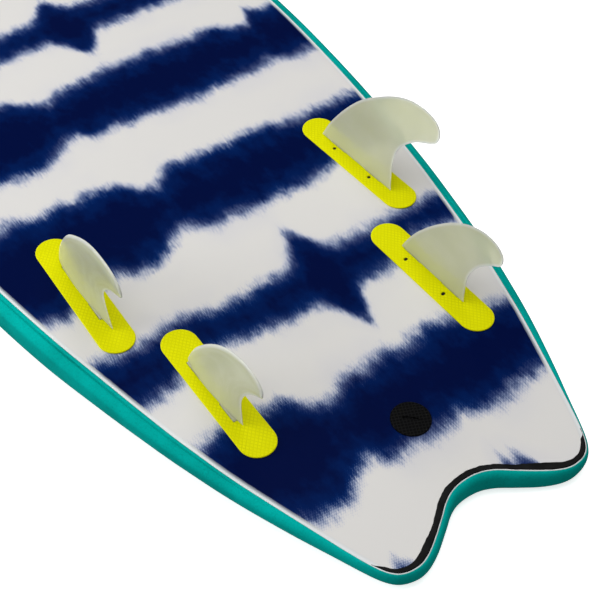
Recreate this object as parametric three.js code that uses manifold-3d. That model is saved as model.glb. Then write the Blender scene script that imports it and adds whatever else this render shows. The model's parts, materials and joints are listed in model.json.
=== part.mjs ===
// Soft-top swallow-tail surfboard with four removable fins, lying on its deck with the fins up.
// Units are millimetres. +X runs from the tail to the nose, +Y to one rail, +Z up out of the bottom skin.
// The origin is the centre of the footprint, on the surface that the nose and the tail end of the deck rest on.
import * as THREE from 'three';
import { mergeVertices } from 'three/addons/utils/BufferGeometryUtils.js';
import Module from 'manifold-3d';

// ---- driving dimensions ----
const BOARD_LENGTH = 1829;        // overall, 6 ft
const X_SHIFT = -650.18;             // board datum (midway between the rear pads) to the origin
const TAIL_X = -264;              // tail tips, from the datum
const BOTTOM_Z = 107.15;          // height of the level patch of the bottom
const PATCH_START = 1060, PATCH_END = 1190;   // level patch, distance from the tail tips
const TAIL_SLOPE = 0.1806, TAIL_BLEND = 600;  // tail rocker
const NOSE_DROP = 87.75, NOSE_POWER = 2.1;     // nose rocker
const SKIN = 1.5;                 // slick bottom sheet
const FOAM = 5;                   // deck and rail foam
const GAP = 0.3;                  // clearance between touching pieces
const BEVEL_W = 5.6, BEVEL_H = 0.3; // bevel round the bottom edge
const TUCK = 6;                   // how far the rail foam reaches under the bottom sheet
const STRINGER_Y = 92, STRINGER_T = 4;
const PAD_L = 180, PAD_W = 39.5, PAD_T = 1.75, PAD_LIFT = 0.15;
const PLUG_U = [33.5, -27.3], PLUG_L = 34, PLUG_W = 22, PLUG_D = 17.5;
const TAB_L = 26, TAB_T = 5, TAB_D = 13.5;
const SCREW_R = 1.75, SCREW_L = 6.5, SCREW_V = 7.6;
const FIN_N = 2.6;
const LEASH_X = -132.8, DISC_R = 20.5, DISC_H = 2.2, STEM_R = 6, CUP_R = 16, CUP_DEPTH = 14;
// v is how far the flat inner face stands from the plate's centre line, towards the middle of the board.
const FINS = [
  { key: 'front_left', x: 182.9, y: 180, toe: 2.9, side: 1, kind: 'front', v: 2.7, cant: 5, tilt: 22 },
  { key: 'front_right', x: 182.9, y: 180, toe: 2.9, side: -1, kind: 'front', v: 2.7, cant: 5, tilt: 22 },
  { key: 'rear_left', x: 0, y: 136.5, toe: 1.32, side: 1, kind: 'rear', v: -1.6, cant: 2, tilt: 41 },
  { key: 'rear_right', x: 0, y: 136.5, toe: 1.32, side: -1, kind: 'rear', v: -1.6, cant: 2, tilt: 41 },
];
// Fin outlines in the plane of the blade: [height, trailing edge, leading edge].
const BLADE = {
  front: [[0, -59.1, 61.2], [12, -57, 56], [24, -55.4, 50.5], [36, -54.8, 43.6], [49, -55.2, 35.2], [60, -59.7, 27],
    [70, -66.9, 19.3], [78, -74.8, 12.8], [86, -84.8, 4.5], [93, -97.5, -3.8], [99, -107.3, -11.2], [104, -110.4, -18],
    [109, -111.5, -25.2], [115, -110.8, -34], [120, -108.6, -43], [124.5, -104.6, -53.3], [127.5, -98.5, -62.5], [129.4, -91.2, -73.3]],
  rear: [[0, -49, 50.8], [10, -48, 46.2], [20, -47.2, 41.4], [30, -47.2, 35.6], [40, -48.5, 29], [49, -51.8, 22],
    [57, -56, 16], [64, -61.3, 10.2], [70, -67, 4.9], [76, -73.8, -1], [81, -79.3, -6.2], [86, -84.8, -11.7],
    [91, -85.6, -17.8], [96, -84.4, -25.7], [100, -82, -33.8], [103, -78.9, -40.2], [105.6, -73.4, -48.5], [107.4, -66.5, -57]],
};
// Half outline at the seam between the bottom sheet and the rail, from the notch to the nose.
const OUTLINE = [[-215.4, 0], [-217.3, 16], [-223.4, 29.9], [-234.6, 45.5], [-247, 63], [-254.5, 75], [-259, 84],
  [-261.4, 92], [-261.8, 100], [-260.1, 109.6], [-256.4, 117], [-249.5, 123.4], [-240, 128.8], [-228, 134], [-206, 142.3],
  [-182, 150.8], [-158, 159.2], [-132, 168.2], [-106, 177], [-79, 185.4], [-51, 193.2], [-22, 201], [22, 211.3], [76, 222.9],
  [143, 236.6], [220, 249.2], [300, 260.4], [400, 271.4], [480, 277.8], [580, 282], [680, 283], [800, 280], [930, 270.3],
  [1060, 253], [1170, 231.5], [1270, 204], [1350, 174.5], [1420, 141], [1475, 107.5], [1515, 75], [1541, 44.5], [1554, 20.2], [1558, 0]];
const THICK = [[0, 26], [60, 30.5], [120, 38.5], [260, 54], [510, 70], [900, 76], [1200, 73], [1500, 60], [1700, 43], [1829, 21]];
const RAIL = [[0, 21.5], [49, 24], [130, 30], [245, 38.5], [340, 48], [494, 58], [800, 60], [1200, 57], [1500, 46], [1700, 34], [1829, 16.5]];
// How far the rail foam stands out past the seam, with a little more in the notch.
const BULGE = [[0, 2.2], [30, 3], [60, 4.4], [100, 7.4], [154, 9.8], [250, 12.6], [340, 13.8], [1500, 13.8], [1829, 7]];
const NOTCH_BULGE = 2, NOTCH_RUN = 70;
const FOOT_MIN = -120, FOOT_MAX = 1440;   // ends of the centre line that the cross lines run from

// ---- shape functions; s is the distance from the tail tips ----
const clamp = (v, a, b) => Math.min(b, Math.max(a, v));
const smooth = (v) => { const c = clamp(v, 0, 1); return c * c * (3 - 2 * c); };
function curveAt(table, x) {
  const n = table.length;
  if (x <= table[0][0]) return table[0][1];
  if (x >= table[n - 1][0]) return table[n - 1][1];
  let k = 0; while (x > table[k + 1][0]) k++;
  const slope = (a) => (table[a + 1][1] - table[a][1]) / (table[a + 1][0] - table[a][0]);
  const tangent = (a) => {
    if (a === 0) return slope(0);
    if (a === n - 1) return slope(n - 2);
    const l = slope(a - 1), r = slope(a);
    return l * r <= 0 ? 0 : 2 * l * r / (l + r);
  };
  const h = table[k + 1][0] - table[k][0], u = (x - table[k][0]) / h, u2 = u * u, u3 = u2 * u;
  return (2 * u3 - 3 * u2 + 1) * table[k][1] + (u3 - 2 * u2 + u) * h * tangent(k)
    + (3 * u2 - 2 * u3) * table[k + 1][1] + (u3 - u2) * h * tangent(k + 1);
}
function bottomZ(s) {
  if (s < PATCH_START) {
    const x = PATCH_START - s;
    return BOTTOM_Z - TAIL_SLOPE * (x - TAIL_BLEND * Math.log(1 + x / TAIL_BLEND));
  }
  if (s > PATCH_END) return BOTTOM_Z - NOSE_DROP * ((s - PATCH_END) / (BOARD_LENGTH - PATCH_END)) ** NOSE_POWER;
  return BOTTOM_Z;
}
const bevelFactor = (s) => smooth((s - 60) / 130);
const notch = (st) => smooth((tipT - Math.abs(st.t)) / NOTCH_RUN);
const distToS = (x) => x - TAIL_X;

// ---- plan outline as a dense closed curve, with arc length ----
const closedPoints = [...OUTLINE, ...OUTLINE.slice(1, -1).reverse().map(([x, y]) => [x, -y])];
const smoothLoop = new THREE.CatmullRomCurve3(closedPoints.map(([x, y]) => new THREE.Vector3(x, y, 0)), true, 'centripetal');
const DENSE = 40;
const dense = [];
for (let i = 0; i < closedPoints.length * DENSE; i++) {
  const p = smoothLoop.getPoint(i / (closedPoints.length * DENSE));
  dense.push([p.x, p.y]);
}
const half = (OUTLINE.length - 1) * DENSE;
const arc = [0];
for (let i = 1; i <= half; i++) arc.push(arc[i - 1] + Math.hypot(dense[i][0] - dense[i - 1][0], dense[i][1] - dense[i - 1][1]));
const HALF_LENGTH = arc[half];
const coarse = [];
for (let i = 0; i < dense.length; i += 8) coarse.push(dense[i]);
function edgeDistance(x, y) {
  let best = Infinity;
  for (let i = 0; i < coarse.length; i++) {
    const [ax, ay] = coarse[i], [bx, by] = coarse[(i + 1) % coarse.length];
    const dx = bx - ax, dy = by - ay;
    const u = clamp(((x - ax) * dx + (y - ay) * dy) / (dx * dx + dy * dy), 0, 1);
    best = Math.min(best, Math.hypot(ax + u * dx - x, ay + u * dy - y));
  }
  return best;
}
const widthTable = OUTLINE.filter(([x], i) => i > 8).map(([x, y]) => [distToS(x), y]);
const halfWidth = (s) => Math.max(30, s < widthTable[0][0] ? widthTable[0][1] : curveAt(widthTable, s));
function deckDepth(s, y) {
  const rail = BEVEL_H * bevelFactor(s) + curveAt(RAIL, s);
  const crown = Math.max(0, curveAt(THICK, s) - rail);
  return rail + crown * (1 - clamp(Math.abs(y) / halfWidth(s), 0, 1) ** 2.4);
}
function skinTop(x, y, d) {
  const s = distToS(x), k = bevelFactor(s);
  return bottomZ(s) - (k > 0 ? BEVEL_H * k * clamp(1 - d / BEVEL_W, 0, 1) : 0);
}
// Station on the outline at signed arc length t from the notch: the +Y side for t > 0.
function station(t) {
  const side = t < 0 ? -1 : 1, a = Math.min(Math.abs(t), HALF_LENGTH);
  let lo = 0, hi = half;
  while (hi - lo > 1) { const mid = (lo + hi) >> 1; if (arc[mid] <= a) lo = mid; else hi = mid; }
  const u = (a - arc[lo]) / (arc[hi] - arc[lo]);
  const x = dense[lo][0] + u * (dense[hi][0] - dense[lo][0]), y = dense[lo][1] + u * (dense[hi][1] - dense[lo][1]);
  const at = (i) => (i < 0 ? [dense[-i][0], -dense[-i][1]] : i > half ? [dense[2 * half - i][0], -dense[2 * half - i][1]] : dense[i]);
  const p = at(lo - 3), q = at(hi + 3);
  let tx = q[0] - p[0], ty = q[1] - p[1];
  const len = Math.hypot(tx, ty); tx /= len; ty /= len;
  if (a === 0 || a === HALF_LENGTH) { tx = 0; ty = a === 0 ? 1 : -1; }
  let nx = -ty, ny = tx;    // outward on the +Y half, which runs from the notch to the nose
  return { x, y: side * y, nx, ny: side * ny, fx: clamp(x, FOOT_MIN, FOOT_MAX), t };
}
// Plan point at signed distance n from the seam: outward for n > 0, along the cross line for n < 0.
function planPoint(st, n) {
  if (n >= 0) return [st.x + n * st.nx, st.y + n * st.ny];
  const dx = st.fx - st.x, dy = -st.y;
  let lo = 0, hi = Math.min(0.9, 6 * -n / Math.hypot(dx, dy));
  for (let i = 0; i < 40; i++) {
    const m = (lo + hi) / 2;
    if (edgeDistance(st.x + m * dx, st.y + m * dy) < -n) lo = m; else hi = m;
  }
  return [st.x + lo * dx, st.y + lo * dy];
}

// ---- mesh builders ----
function geometryFrom(vertices, faces) {
  let volume = 0;
  for (const [a, b, c] of faces) {
    const [ax, ay, az] = vertices[a], [bx, by, bz] = vertices[b], [cx, cy, cz] = vertices[c];
    volume += ax * (by * cz - bz * cy) + ay * (bz * cx - bx * cz) + az * (bx * cy - by * cx);
  }
  const g = new THREE.BufferGeometry();
  g.setAttribute('position', new THREE.Float32BufferAttribute(vertices.flat(), 3));
  g.setIndex(volume < 0 ? faces.flatMap(([a, b, c]) => [a, c, b]) : faces.flat());
  return g;
}
// A solid from a stack of closed rings round the outline, closed along the centre line at both ends.
function ringSolid(stations, rings, firstZ, lastZ) {
  const n = stations.length, vertices = [], faces = [];
  for (const r of rings) vertices.push(...r);
  const close = (base, zOf, flip) => {
    const foot = new Map();
    const footOf = (i) => {
      const fx = stations[i].fx, key = fx.toFixed(4);
      if (!foot.has(key)) { foot.set(key, vertices.length); vertices.push([fx + X_SHIFT, 0, zOf(fx)]); }
      return foot.get(key);
    };
    for (let i = 0; i < n; i++) {
      const j = (i + 1) % n, a = base + i, b = base + j, fa = footOf(i), fb = footOf(j);
      const tri = (p, q, r) => faces.push(flip ? [p, r, q] : [p, q, r]);
      tri(a, b, fa);
      if (fa !== fb) tri(b, fb, fa);
    }
  };
  close(0, firstZ, false);
  for (let k = 0; k + 1 < rings.length; k++) {
    for (let i = 0; i < n; i++) {
      const j = (i + 1) % n, a = k * n + i, b = k * n + j, c = (k + 1) * n + i, d = (k + 1) * n + j;
      faces.push([b, a, c], [b, c, d]);
    }
  }
  close((rings.length - 1) * n, lastZ, true);
  return geometryFrom(vertices, faces);
}
// A solid swept along the outline from a list of sections with the same number of points.
function sweptSolid(sections, plane) {
  const k = sections[0].length, vertices = sections.flat(), faces = [];
  for (let s = 0; s + 1 < sections.length; s++) {
    for (let i = 0; i < k; i++) {
      const j = (i + 1) % k, a = s * k + i, b = s * k + j;
      faces.push([a, b, a + k], [b, b + k, a + k]);
    }
  }
  const cap = THREE.ShapeUtils.triangulateShape(plane.map(([x, y]) => new THREE.Vector2(x, y)), []);
  const last = (sections.length - 1) * k;
  const area = plane.reduce((sum, p, i) => { const q = plane[(i + 1) % k]; return sum + p[0] * q[1] - q[0] * p[1]; }, 0);
  for (const [a, b, c] of cap) {
    const t = area > 0 ? [a, b, c] : [a, c, b];
    faces.push([t[0], t[2], t[1]], [last + t[0], last + t[1], last + t[2]]);
  }
  return geometryFrom(vertices, faces);
}
const wasm = await Module();
wasm.setup();
function solid(geometry) {
  const g = geometry.clone();
  g.deleteAttribute('normal'); g.deleteAttribute('uv');
  const m = mergeVertices(g, 1e-4);
  const p = m.getAttribute('position').array, idx = m.index.array;
  const tri = [];
  for (let i = 0; i < idx.length; i += 3) {
    if (idx[i] !== idx[i + 1] && idx[i + 1] !== idx[i + 2] && idx[i] !== idx[i + 2]) tri.push(idx[i], idx[i + 1], idx[i + 2]);
  }
  const mesh = new wasm.Mesh({ numProp: 3, vertProperties: Float32Array.from(p), triVerts: Uint32Array.from(tri) });
  mesh.merge();
  return new wasm.Manifold(mesh);
}
function geometryOf(manifold) {
  const m = manifold.getMesh(), g = new THREE.BufferGeometry();
  g.setAttribute('position', new THREE.BufferAttribute(Float32Array.from(m.vertProperties), 3));
  g.setIndex(Array.from(m.triVerts));
  return g;
}
const box = (x0, x1, y0, y1, z0, z1, matrix) => {
  const g = new THREE.BoxGeometry(x1 - x0, y1 - y0, z1 - z0);
  g.translate((x0 + x1) / 2, (y0 + y1) / 2, (z0 + z1) / 2);
  if (matrix) g.applyMatrix4(matrix);
  return solid(g);
};
const cylinder = (r, z0, z1, sides, matrix) => {
  const g = new THREE.CylinderGeometry(r, r, z1 - z0, sides);
  g.rotateX(Math.PI / 2); g.translate(0, 0, (z0 + z1) / 2);
  if (matrix) g.applyMatrix4(matrix);
  return solid(g);
};
const lathe = (profile, sides) => {
  const g = new THREE.LatheGeometry(profile.map(([r, z]) => new THREE.Vector2(r, z)), sides);
  g.rotateX(Math.PI / 2);
  return g;
};

// ---- stations round the outline ----
const step = (x) => (x < -200 ? 14 : x < 60 ? 42 : x < 1100 ? 105 : x < 1380 ? 64 : x < 1500 ? 38 : 22);
function walk(t0, t1) {
  const out = [t0];
  let t = t0;
  for (;;) {
    t += step(station(t).x);
    if (t >= t1 - 0.45 * step(station(Math.min(t, HALF_LENGTH)).x)) break;
    out.push(t);
  }
  out.push(t1);
  return out;
}
let tipT = 0;
for (let i = 0; i <= half; i++) if (dense[i][0] <= -250 || dense[i][1] < 110) tipT = arc[i];
for (let i = 0; i <= half; i++) if (dense[i][1] > 118 && dense[i][0] > -250) { tipT = arc[i]; break; }
const ts = [...walk(0, tipT), ...walk(tipT, HALF_LENGTH).slice(1)];
const all = [...ts, ...ts.slice(1, -1).reverse().map((t) => -t)].map(station);
// Inner limit of the rail foam on the deck side, at a station.
const inset = (st) => 0.5 * curveAt(RAIL, distToS(st.x));
const place = (xy, z) => [xy[0] + X_SHIFT, xy[1], z];

// Bottom sheet: top face, edge and under face.
function sheetRing(n, drop) {
  return all.map((st) => {
    const p = n === 0 ? [st.x, st.y] : planPoint(st, n);
    return place(p, skinTop(p[0], p[1], -n) - drop);
  });
}
const bottomSheet = ringSolid(all, [sheetRing(-BEVEL_W, 0), sheetRing(0, 0), sheetRing(0, SKIN), sheetRing(-BEVEL_W, SKIN)],
  (x) => bottomZ(distToS(x)), (x) => bottomZ(distToS(x)) - SKIN);

// Deck foam sheet.
function deckPoint(st, fraction, lift) {
  const edge = planPoint(st, -inset(st) - GAP);
  const p = [edge[0] + fraction * (st.fx - edge[0]), edge[1] * (1 - fraction)];
  return place(p, bottomZ(distToS(p[0])) - deckDepth(distToS(p[0]), p[1]) + lift);
}
const deckFoot = (lift) => (x) => bottomZ(distToS(x)) - deckDepth(distToS(x), 0) + lift;
const deckRings = [[0.45, 0], [0, 0], [0, FOAM], [0.45, FOAM]]
  .map(([f, lift]) => all.map((st) => deckPoint(st, f, lift)));
const deckSheet = ringSolid(all, deckRings, deckFoot(0), deckFoot(FOAM));

// Rail foam: section points as [distance out from the seam, height].
function railSection(st) {
  const s = distToS(st.x), w = notch(st), b = curveAt(BULGE, s) + NOTCH_BULGE * w, m = inset(st);
  // squarer sections ahead of the fins and across the flat face of the notch
  const square = smooth((s - 200) / 260), pc = 0.9 - 0.26 * square - 0.45 * w, ps = 1 - 0.22 * square - 0.4 * w;
  const edge = planPoint(st, -m), es = distToS(edge[0]);
  const drop = BEVEL_H * bevelFactor(s);
  const H = deckDepth(es, edge[1]) - drop + bottomZ(s) - bottomZ(es), ha = Math.min(8, 0.3 * H);
  const rad = Math.PI / 180;
  const outer = [0, 32, 90].map((a) => [GAP + (b - GAP) * Math.sin(a * rad), -ha * (1 - Math.cos(a * rad))]);
  const lower = [26, 52, 74, 90].map((a) => [-m + (b + m) * Math.cos(a * rad) ** pc, -(ha + (H - ha) * Math.sin(a * rad) ** ps)]);
  lower[3][0] = -m;
  const inner = [90, 52, 14].map((a) => [-m + (b + m - FOAM) * Math.cos(a * rad), -(ha + (H - ha - FOAM) * Math.sin(a * rad))]);
  inner[0][0] = -m;
  return { outline: [...outer, ...lower, ...inner], base: bottomZ(s) - drop, b, m, H, ha, drop };
}
function railPoints(st) {
  const sec = railSection(st), cache = new Map();
  const at = (n) => { const k = n.toFixed(3); if (!cache.has(k)) cache.set(k, planPoint(st, n)); return cache.get(k); };
  const out = sec.outline.map(([n, z]) => {
    const p = at(n);
    const slope = n > 0 ? bottomZ(distToS(p[0])) - bottomZ(distToS(st.x)) : 0;
    return place(p, sec.base + z + slope * clamp(1 + z / sec.H, 0, 1));
  });
  const tuck = at(-TUCK), lip = at(GAP);
  out.push(place(tuck, skinTop(tuck[0], tuck[1], TUCK) - SKIN - 2.4 * GAP));
  out.push(place(lip, sec.base - SKIN - 2.4 * GAP));
  return out;
}
const railPlane = (st) => {
  const sec = railSection(st);
  return [...sec.outline, [-TUCK, BEVEL_H * (sec.drop / BEVEL_H) * (TUCK / BEVEL_W) - SKIN - 2.4 * GAP], [GAP, -SKIN - 2.4 * GAP]];
};
// The rails use the same stations as the rings, with their ends drawn back by half the gap.
const tailTs = ts.filter((t) => t <= tipT + 1e-9), sideTs = ts.filter((t) => t >= tipT - 1e-9);
function rail(sign) {
  const list = sideTs.map((t, i) => (i === 0 ? t + GAP / 2 : i === sideTs.length - 1 ? t - GAP / 2 - 0.05 : t));
  const sts = list.map((t) => station(sign * t));
  return sweptSolid(sts.map(railPoints), railPlane(sts[0]));
}
function tailRail() {
  const list = tailTs.map((t, i) => (i === tailTs.length - 1 ? t - GAP / 2 : t));
  const sts = [...list.slice(1).reverse().map((t) => -t), ...list].map(station);
  return sweptSolid(sts.map(railPoints), railPlane(sts[0]));
}

// Foam core: everything inside the two sheets and the rail, with a little more room in the narrow tail tips.
const tipRoom = (x) => 1.5 * (1 - smooth((distToS(x) - 20) / 60));
function coreWall(st, a) {
  const sec = railSection(st), rad = Math.PI / 180;
  const room = tipRoom(st.x), n = -sec.m + (sec.b + sec.m - FOAM - 1.5 - room) * Math.cos(a * rad);
  const z = -(sec.ha + (sec.H - sec.ha - FOAM - GAP - room) * Math.sin(a * rad));
  const p = planPoint(st, a === 90 ? -sec.m : n);
  return place(p, sec.base + z);
}
const coreTop = (n) => all.map((st) => {
  const p = planPoint(st, n);
  return place(p, skinTop(p[0], p[1], -n) - SKIN - 1.5 * GAP);
});
const coreRings = [coreTop(-BEVEL_W - 1), coreTop(-TUCK - 1),
  ...[14, 52, 90].map((a) => all.map((st) => coreWall(st, a))),
  all.map((st) => deckPoint(st, 0.45, FOAM + GAP + tipRoom(st.x)))];
const coreWhole = solid(ringSolid(all, coreRings, (x) => bottomZ(distToS(x)) - SKIN - GAP, deckFoot(FOAM + GAP)));

// ---- local frames on the bottom: x along the fin, y across, z out of the bottom ----
function bottomFrame(x, y, turn) {
  const s = distToS(x), slope = (bottomZ(s + 2) - bottomZ(s - 2)) / 4;
  const z = new THREE.Vector3(-slope, 0, 1).normalize();
  let u = new THREE.Vector3(Math.cos(turn), Math.sin(turn), 0);
  u.addScaledVector(z, -u.dot(z)).normalize();
  const v = new THREE.Vector3().crossVectors(z, u);
  return new THREE.Matrix4().makeBasis(u, v, z).setPosition(x + X_SHIFT, y, bottomZ(s));
}
function deckFrame(x) {
  const at = (q) => bottomZ(distToS(q)) - deckDepth(distToS(q), 0), slope = (at(x + 20) - at(x - 20)) / 40;
  const z = new THREE.Vector3(-slope, 0, 1).normalize(), u = new THREE.Vector3(1, 0, slope).normalize();
  return new THREE.Matrix4().makeBasis(u, new THREE.Vector3(0, 1, 0), z).setPosition(x + X_SHIFT, 0, at(x));
}
const finFrames = FINS.map((f) => bottomFrame(f.x, f.side * f.y, -f.side * f.toe * Math.PI / 180));
const leashFrame = bottomFrame(LEASH_X, 0, 0);
const cupFrame = deckFrame(LEASH_X + 3);
// Frame of a blade: x along it, y out of the flat inner face towards the rail, z up the blade.
function bladeMatrix(k) {
  const f = FINS[k], m = new THREE.Matrix4().makeRotationX(-f.side * f.cant * Math.PI / 180);
  m.setPosition(0, -f.side * f.v, FIN_N);
  return finFrames[k].clone().multiply(m);
}
function screwMatrix(k, u) {
  const f = FINS[k], m = new THREE.Matrix4().makeRotationX(f.side * f.tilt * Math.PI / 180);
  m.setPosition(u, -f.side * SCREW_V, PAD_LIFT + PAD_T);
  return finFrames[k].clone().multiply(m);
}

// ---- cutters ----
let skinCut = null, coreCut = null;
const join = (a, b) => (a ? a.add(b) : b);
FINS.forEach((f, k) => {
  for (const u of PLUG_U) {
    skinCut = join(skinCut, box(u - PLUG_L / 2 - 0.5, u + PLUG_L / 2 + 0.5, -PLUG_W / 2 - 0.5, PLUG_W / 2 + 0.5, -6, 6, finFrames[k]));
    coreCut = join(coreCut, box(u - PLUG_L / 2 - GAP, u + PLUG_L / 2 + GAP, -PLUG_W / 2 - GAP, PLUG_W / 2 + GAP, -PLUG_D - GAP - 0.2, 12, finFrames[k]));
  }
});
const leashDepth = deckDepth(distToS(LEASH_X), 0);
skinCut = skinCut.add(cylinder(STEM_R + 0.5, -8, 8, 20, leashFrame));
coreCut = coreCut.add(cylinder(STEM_R + 0.5, -leashDepth + 6, 8, 20, leashFrame))
  .add(cylinder(CUP_R + 0.5, -8, CUP_DEPTH + 0.6, 28, cupFrame));
const deckCut = cylinder(CUP_R + 0.5, -8, 12, 28, cupFrame).add(cylinder(CUP_R + 4.5, -8, 1.9, 28, cupFrame));
const core = coreWhole.subtract(coreCut);
const slab = (y0, y1) => box(-1100, 1100, y0, y1, -50, 250);
const s0 = STRINGER_Y - STRINGER_T / 2, s1 = STRINGER_Y + STRINGER_T / 2;

// ---- pieces ----
const material = (color, roughness, metalness = 0) => new THREE.MeshStandardMaterial({ color, roughness, metalness });
const eps = material(0xf1efe8, 0.9), wood = material(0xc79a62, 0.7), teal = material(0x11887f, 0.85);
const slick = material(0xcfcdca, 0.35), black = material(0x141414, 0.55), yellow = material(0xcdcf0d, 0.45);
const frosted = material(0xb9bca0, 0.3), steel = material(0xb8bcc0, 0.3, 1), darkSteel = material(0x2a2c30, 0.45, 0.8);
const board = new THREE.Group();
const add = (name, geometry, mat) => {
  const mesh = new THREE.Mesh(geometry, mat);
  mesh.name = name;
  board.add(mesh);
};
add('core_center', geometryOf(core.intersect(slab(-s0 + GAP, s0 - GAP))), eps);
add('core_left', geometryOf(core.intersect(slab(s1 + GAP, 400))), eps);
add('core_right', geometryOf(core.intersect(slab(-400, -s1 - GAP))), eps);
add('stringer_left', geometryOf(coreWhole.intersect(slab(s0, s1))), wood);
add('stringer_right', geometryOf(coreWhole.intersect(slab(-s1, -s0))), wood);
add('bottom_skin', geometryOf(solid(bottomSheet).subtract(skinCut)), slick);
add('deck_skin', geometryOf(solid(deckSheet).subtract(deckCut)), teal);
add('rail_left', rail(1), teal);
add('rail_right', rail(-1), teal);
add('tail_rail', tailRail(), teal);

// Dark sealing strip on the bottom, round the tail, just inside the seam.
{
  const list = walk(0, tipT + 26);
  const sts = [...list.slice(1).reverse().map((t) => -t), ...list].map(station);
  const end = list[list.length - 1];
  const sections = sts.map((st) => {
    const taper = smooth((end - Math.abs(st.t)) / 30);
    const a = planPoint(st, -2.8), b = planPoint(st, -2.8 - 0.8 - 5.2 * taper);
    const za = skinTop(a[0], a[1], 2.8), zb = skinTop(b[0], b[1], 8);
    return [place(a, za + 0.15), place(a, za + 0.75), place(b, zb + 0.75), place(b, zb + 0.15)];
  });
  add('tail_seal', sweptSolid(sections, [[0, 0], [0, 1], [-1, 1], [-1, 0]]), black);
}

// Fin plates on the bottom, plugs under them, clamp screws and fins.
FINS.forEach((f, k) => {
  const cutTab = (u, grow, depth, top) => box(u - TAB_L / 2 - grow, u + TAB_L / 2 + grow, f.side > 0 ? 0.35 - grow : -0.35 - TAB_T - grow,
    f.side > 0 ? 0.35 + TAB_T + grow : -0.35 + grow, -depth, top, bladeMatrix(k));
  const shape = new THREE.Shape();
  const h = PAD_L / 2 - PAD_W / 2, r = PAD_W / 2 - 0.7;
  shape.absarc(h, 0, r, -Math.PI / 2, Math.PI / 2, false);
  shape.absarc(-h, 0, r, Math.PI / 2, 1.5 * Math.PI, false);
  const plate = new THREE.ExtrudeGeometry(shape, { depth: PAD_T - 1.0, bevelEnabled: true, bevelSize: 0.7, bevelThickness: 0.5, bevelSegments: 1, curveSegments: 8 });
  plate.translate(0, 0, PAD_LIFT + 0.5);
  plate.applyMatrix4(finFrames[k]);
  let plateSolid = solid(plate);
  const plateCuts = PLUG_U.map((u) => cutTab(u, 0.5, 8, 8).add(cylinder(SCREW_R + 0.35, -8, 8, 10, screwMatrix(k, u))));
  for (const c of plateCuts) plateSolid = plateSolid.subtract(c);
  add(`fin_pad_${f.key}`, geometryOf(plateSolid), yellow);

  // Blade: flat inner face, foiled outer face, two tabs below it.
  const rows = BLADE[f.kind].filter((r, j, a) => j % 3 !== 1 || j === a.length - 1), tmax = f.kind === 'front' ? 6.4 : 6;
  const chord = [0, 0.08, 0.36, 0.72, 1];
  const section = rows.map(([w, tu, lu], j) => {
    const top = rows[rows.length - 1][0], thick = tmax * (1 - 0.62 * (w / top) ** 1.3) * (j === rows.length - 1 ? 0.55 : 1);
    const inner = [], outer = [];
    for (const c of chord) {
      const u = lu + c * (tu - lu);
      const foil = c < 0.36 ? Math.sqrt(1 - ((0.36 - c) / 0.36) ** 2) : 1 - ((c - 0.36) / 0.64) ** 1.9;
      inner.push([u, 0, w]);
      outer.push([u, f.side * (0.7 + (thick - 0.7) * foil), w]);
    }
    return [...inner, ...outer.reverse()];
  });
  const plane = section[0].map((p) => [p[0], p[1]]);
  const blade = sweptSolid(section, plane);
  blade.applyMatrix4(bladeMatrix(k));
  let fin = solid(blade);
  for (const u of PLUG_U) fin = fin.add(cutTab(u, 0, TAB_D, 0.6));

  PLUG_U.forEach((u, j) => {
    const end = j === 0 ? 'fore' : 'aft';
    const body = box(u - PLUG_L / 2, u + PLUG_L / 2, -PLUG_W / 2, PLUG_W / 2, -PLUG_D, -0.15, finFrames[k]);
    const bore = cylinder(SCREW_R + 0.3, -SCREW_L - 2.6, 6, 10, screwMatrix(k, u));
    add(`fin_plug_${f.key}_${end}`, geometryOf(body.subtract(cutTab(u, 0.35, TAB_D + 0.5, 8)).subtract(bore)), black);
    // Clamp screw with a hexagonal socket; its foot stops just short of the tab.
    const top = -1.2;
    let screw = solid(lathe([[0, top - SCREW_L], [SCREW_R - 0.5, top - SCREW_L], [SCREW_R, top - SCREW_L + 0.5], [SCREW_R, top], [0, top]], 10).applyMatrix4(screwMatrix(k, u)));
    screw = screw.subtract(cylinder(0.85, top - 2.2, top + 1, 6, screwMatrix(k, u)));
    add(`grub_screw_${f.key}_${end}`, geometryOf(screw), darkSteel);
  });
  add(`fin_${f.key}`, geometryOf(fin), frosted);
});

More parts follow.
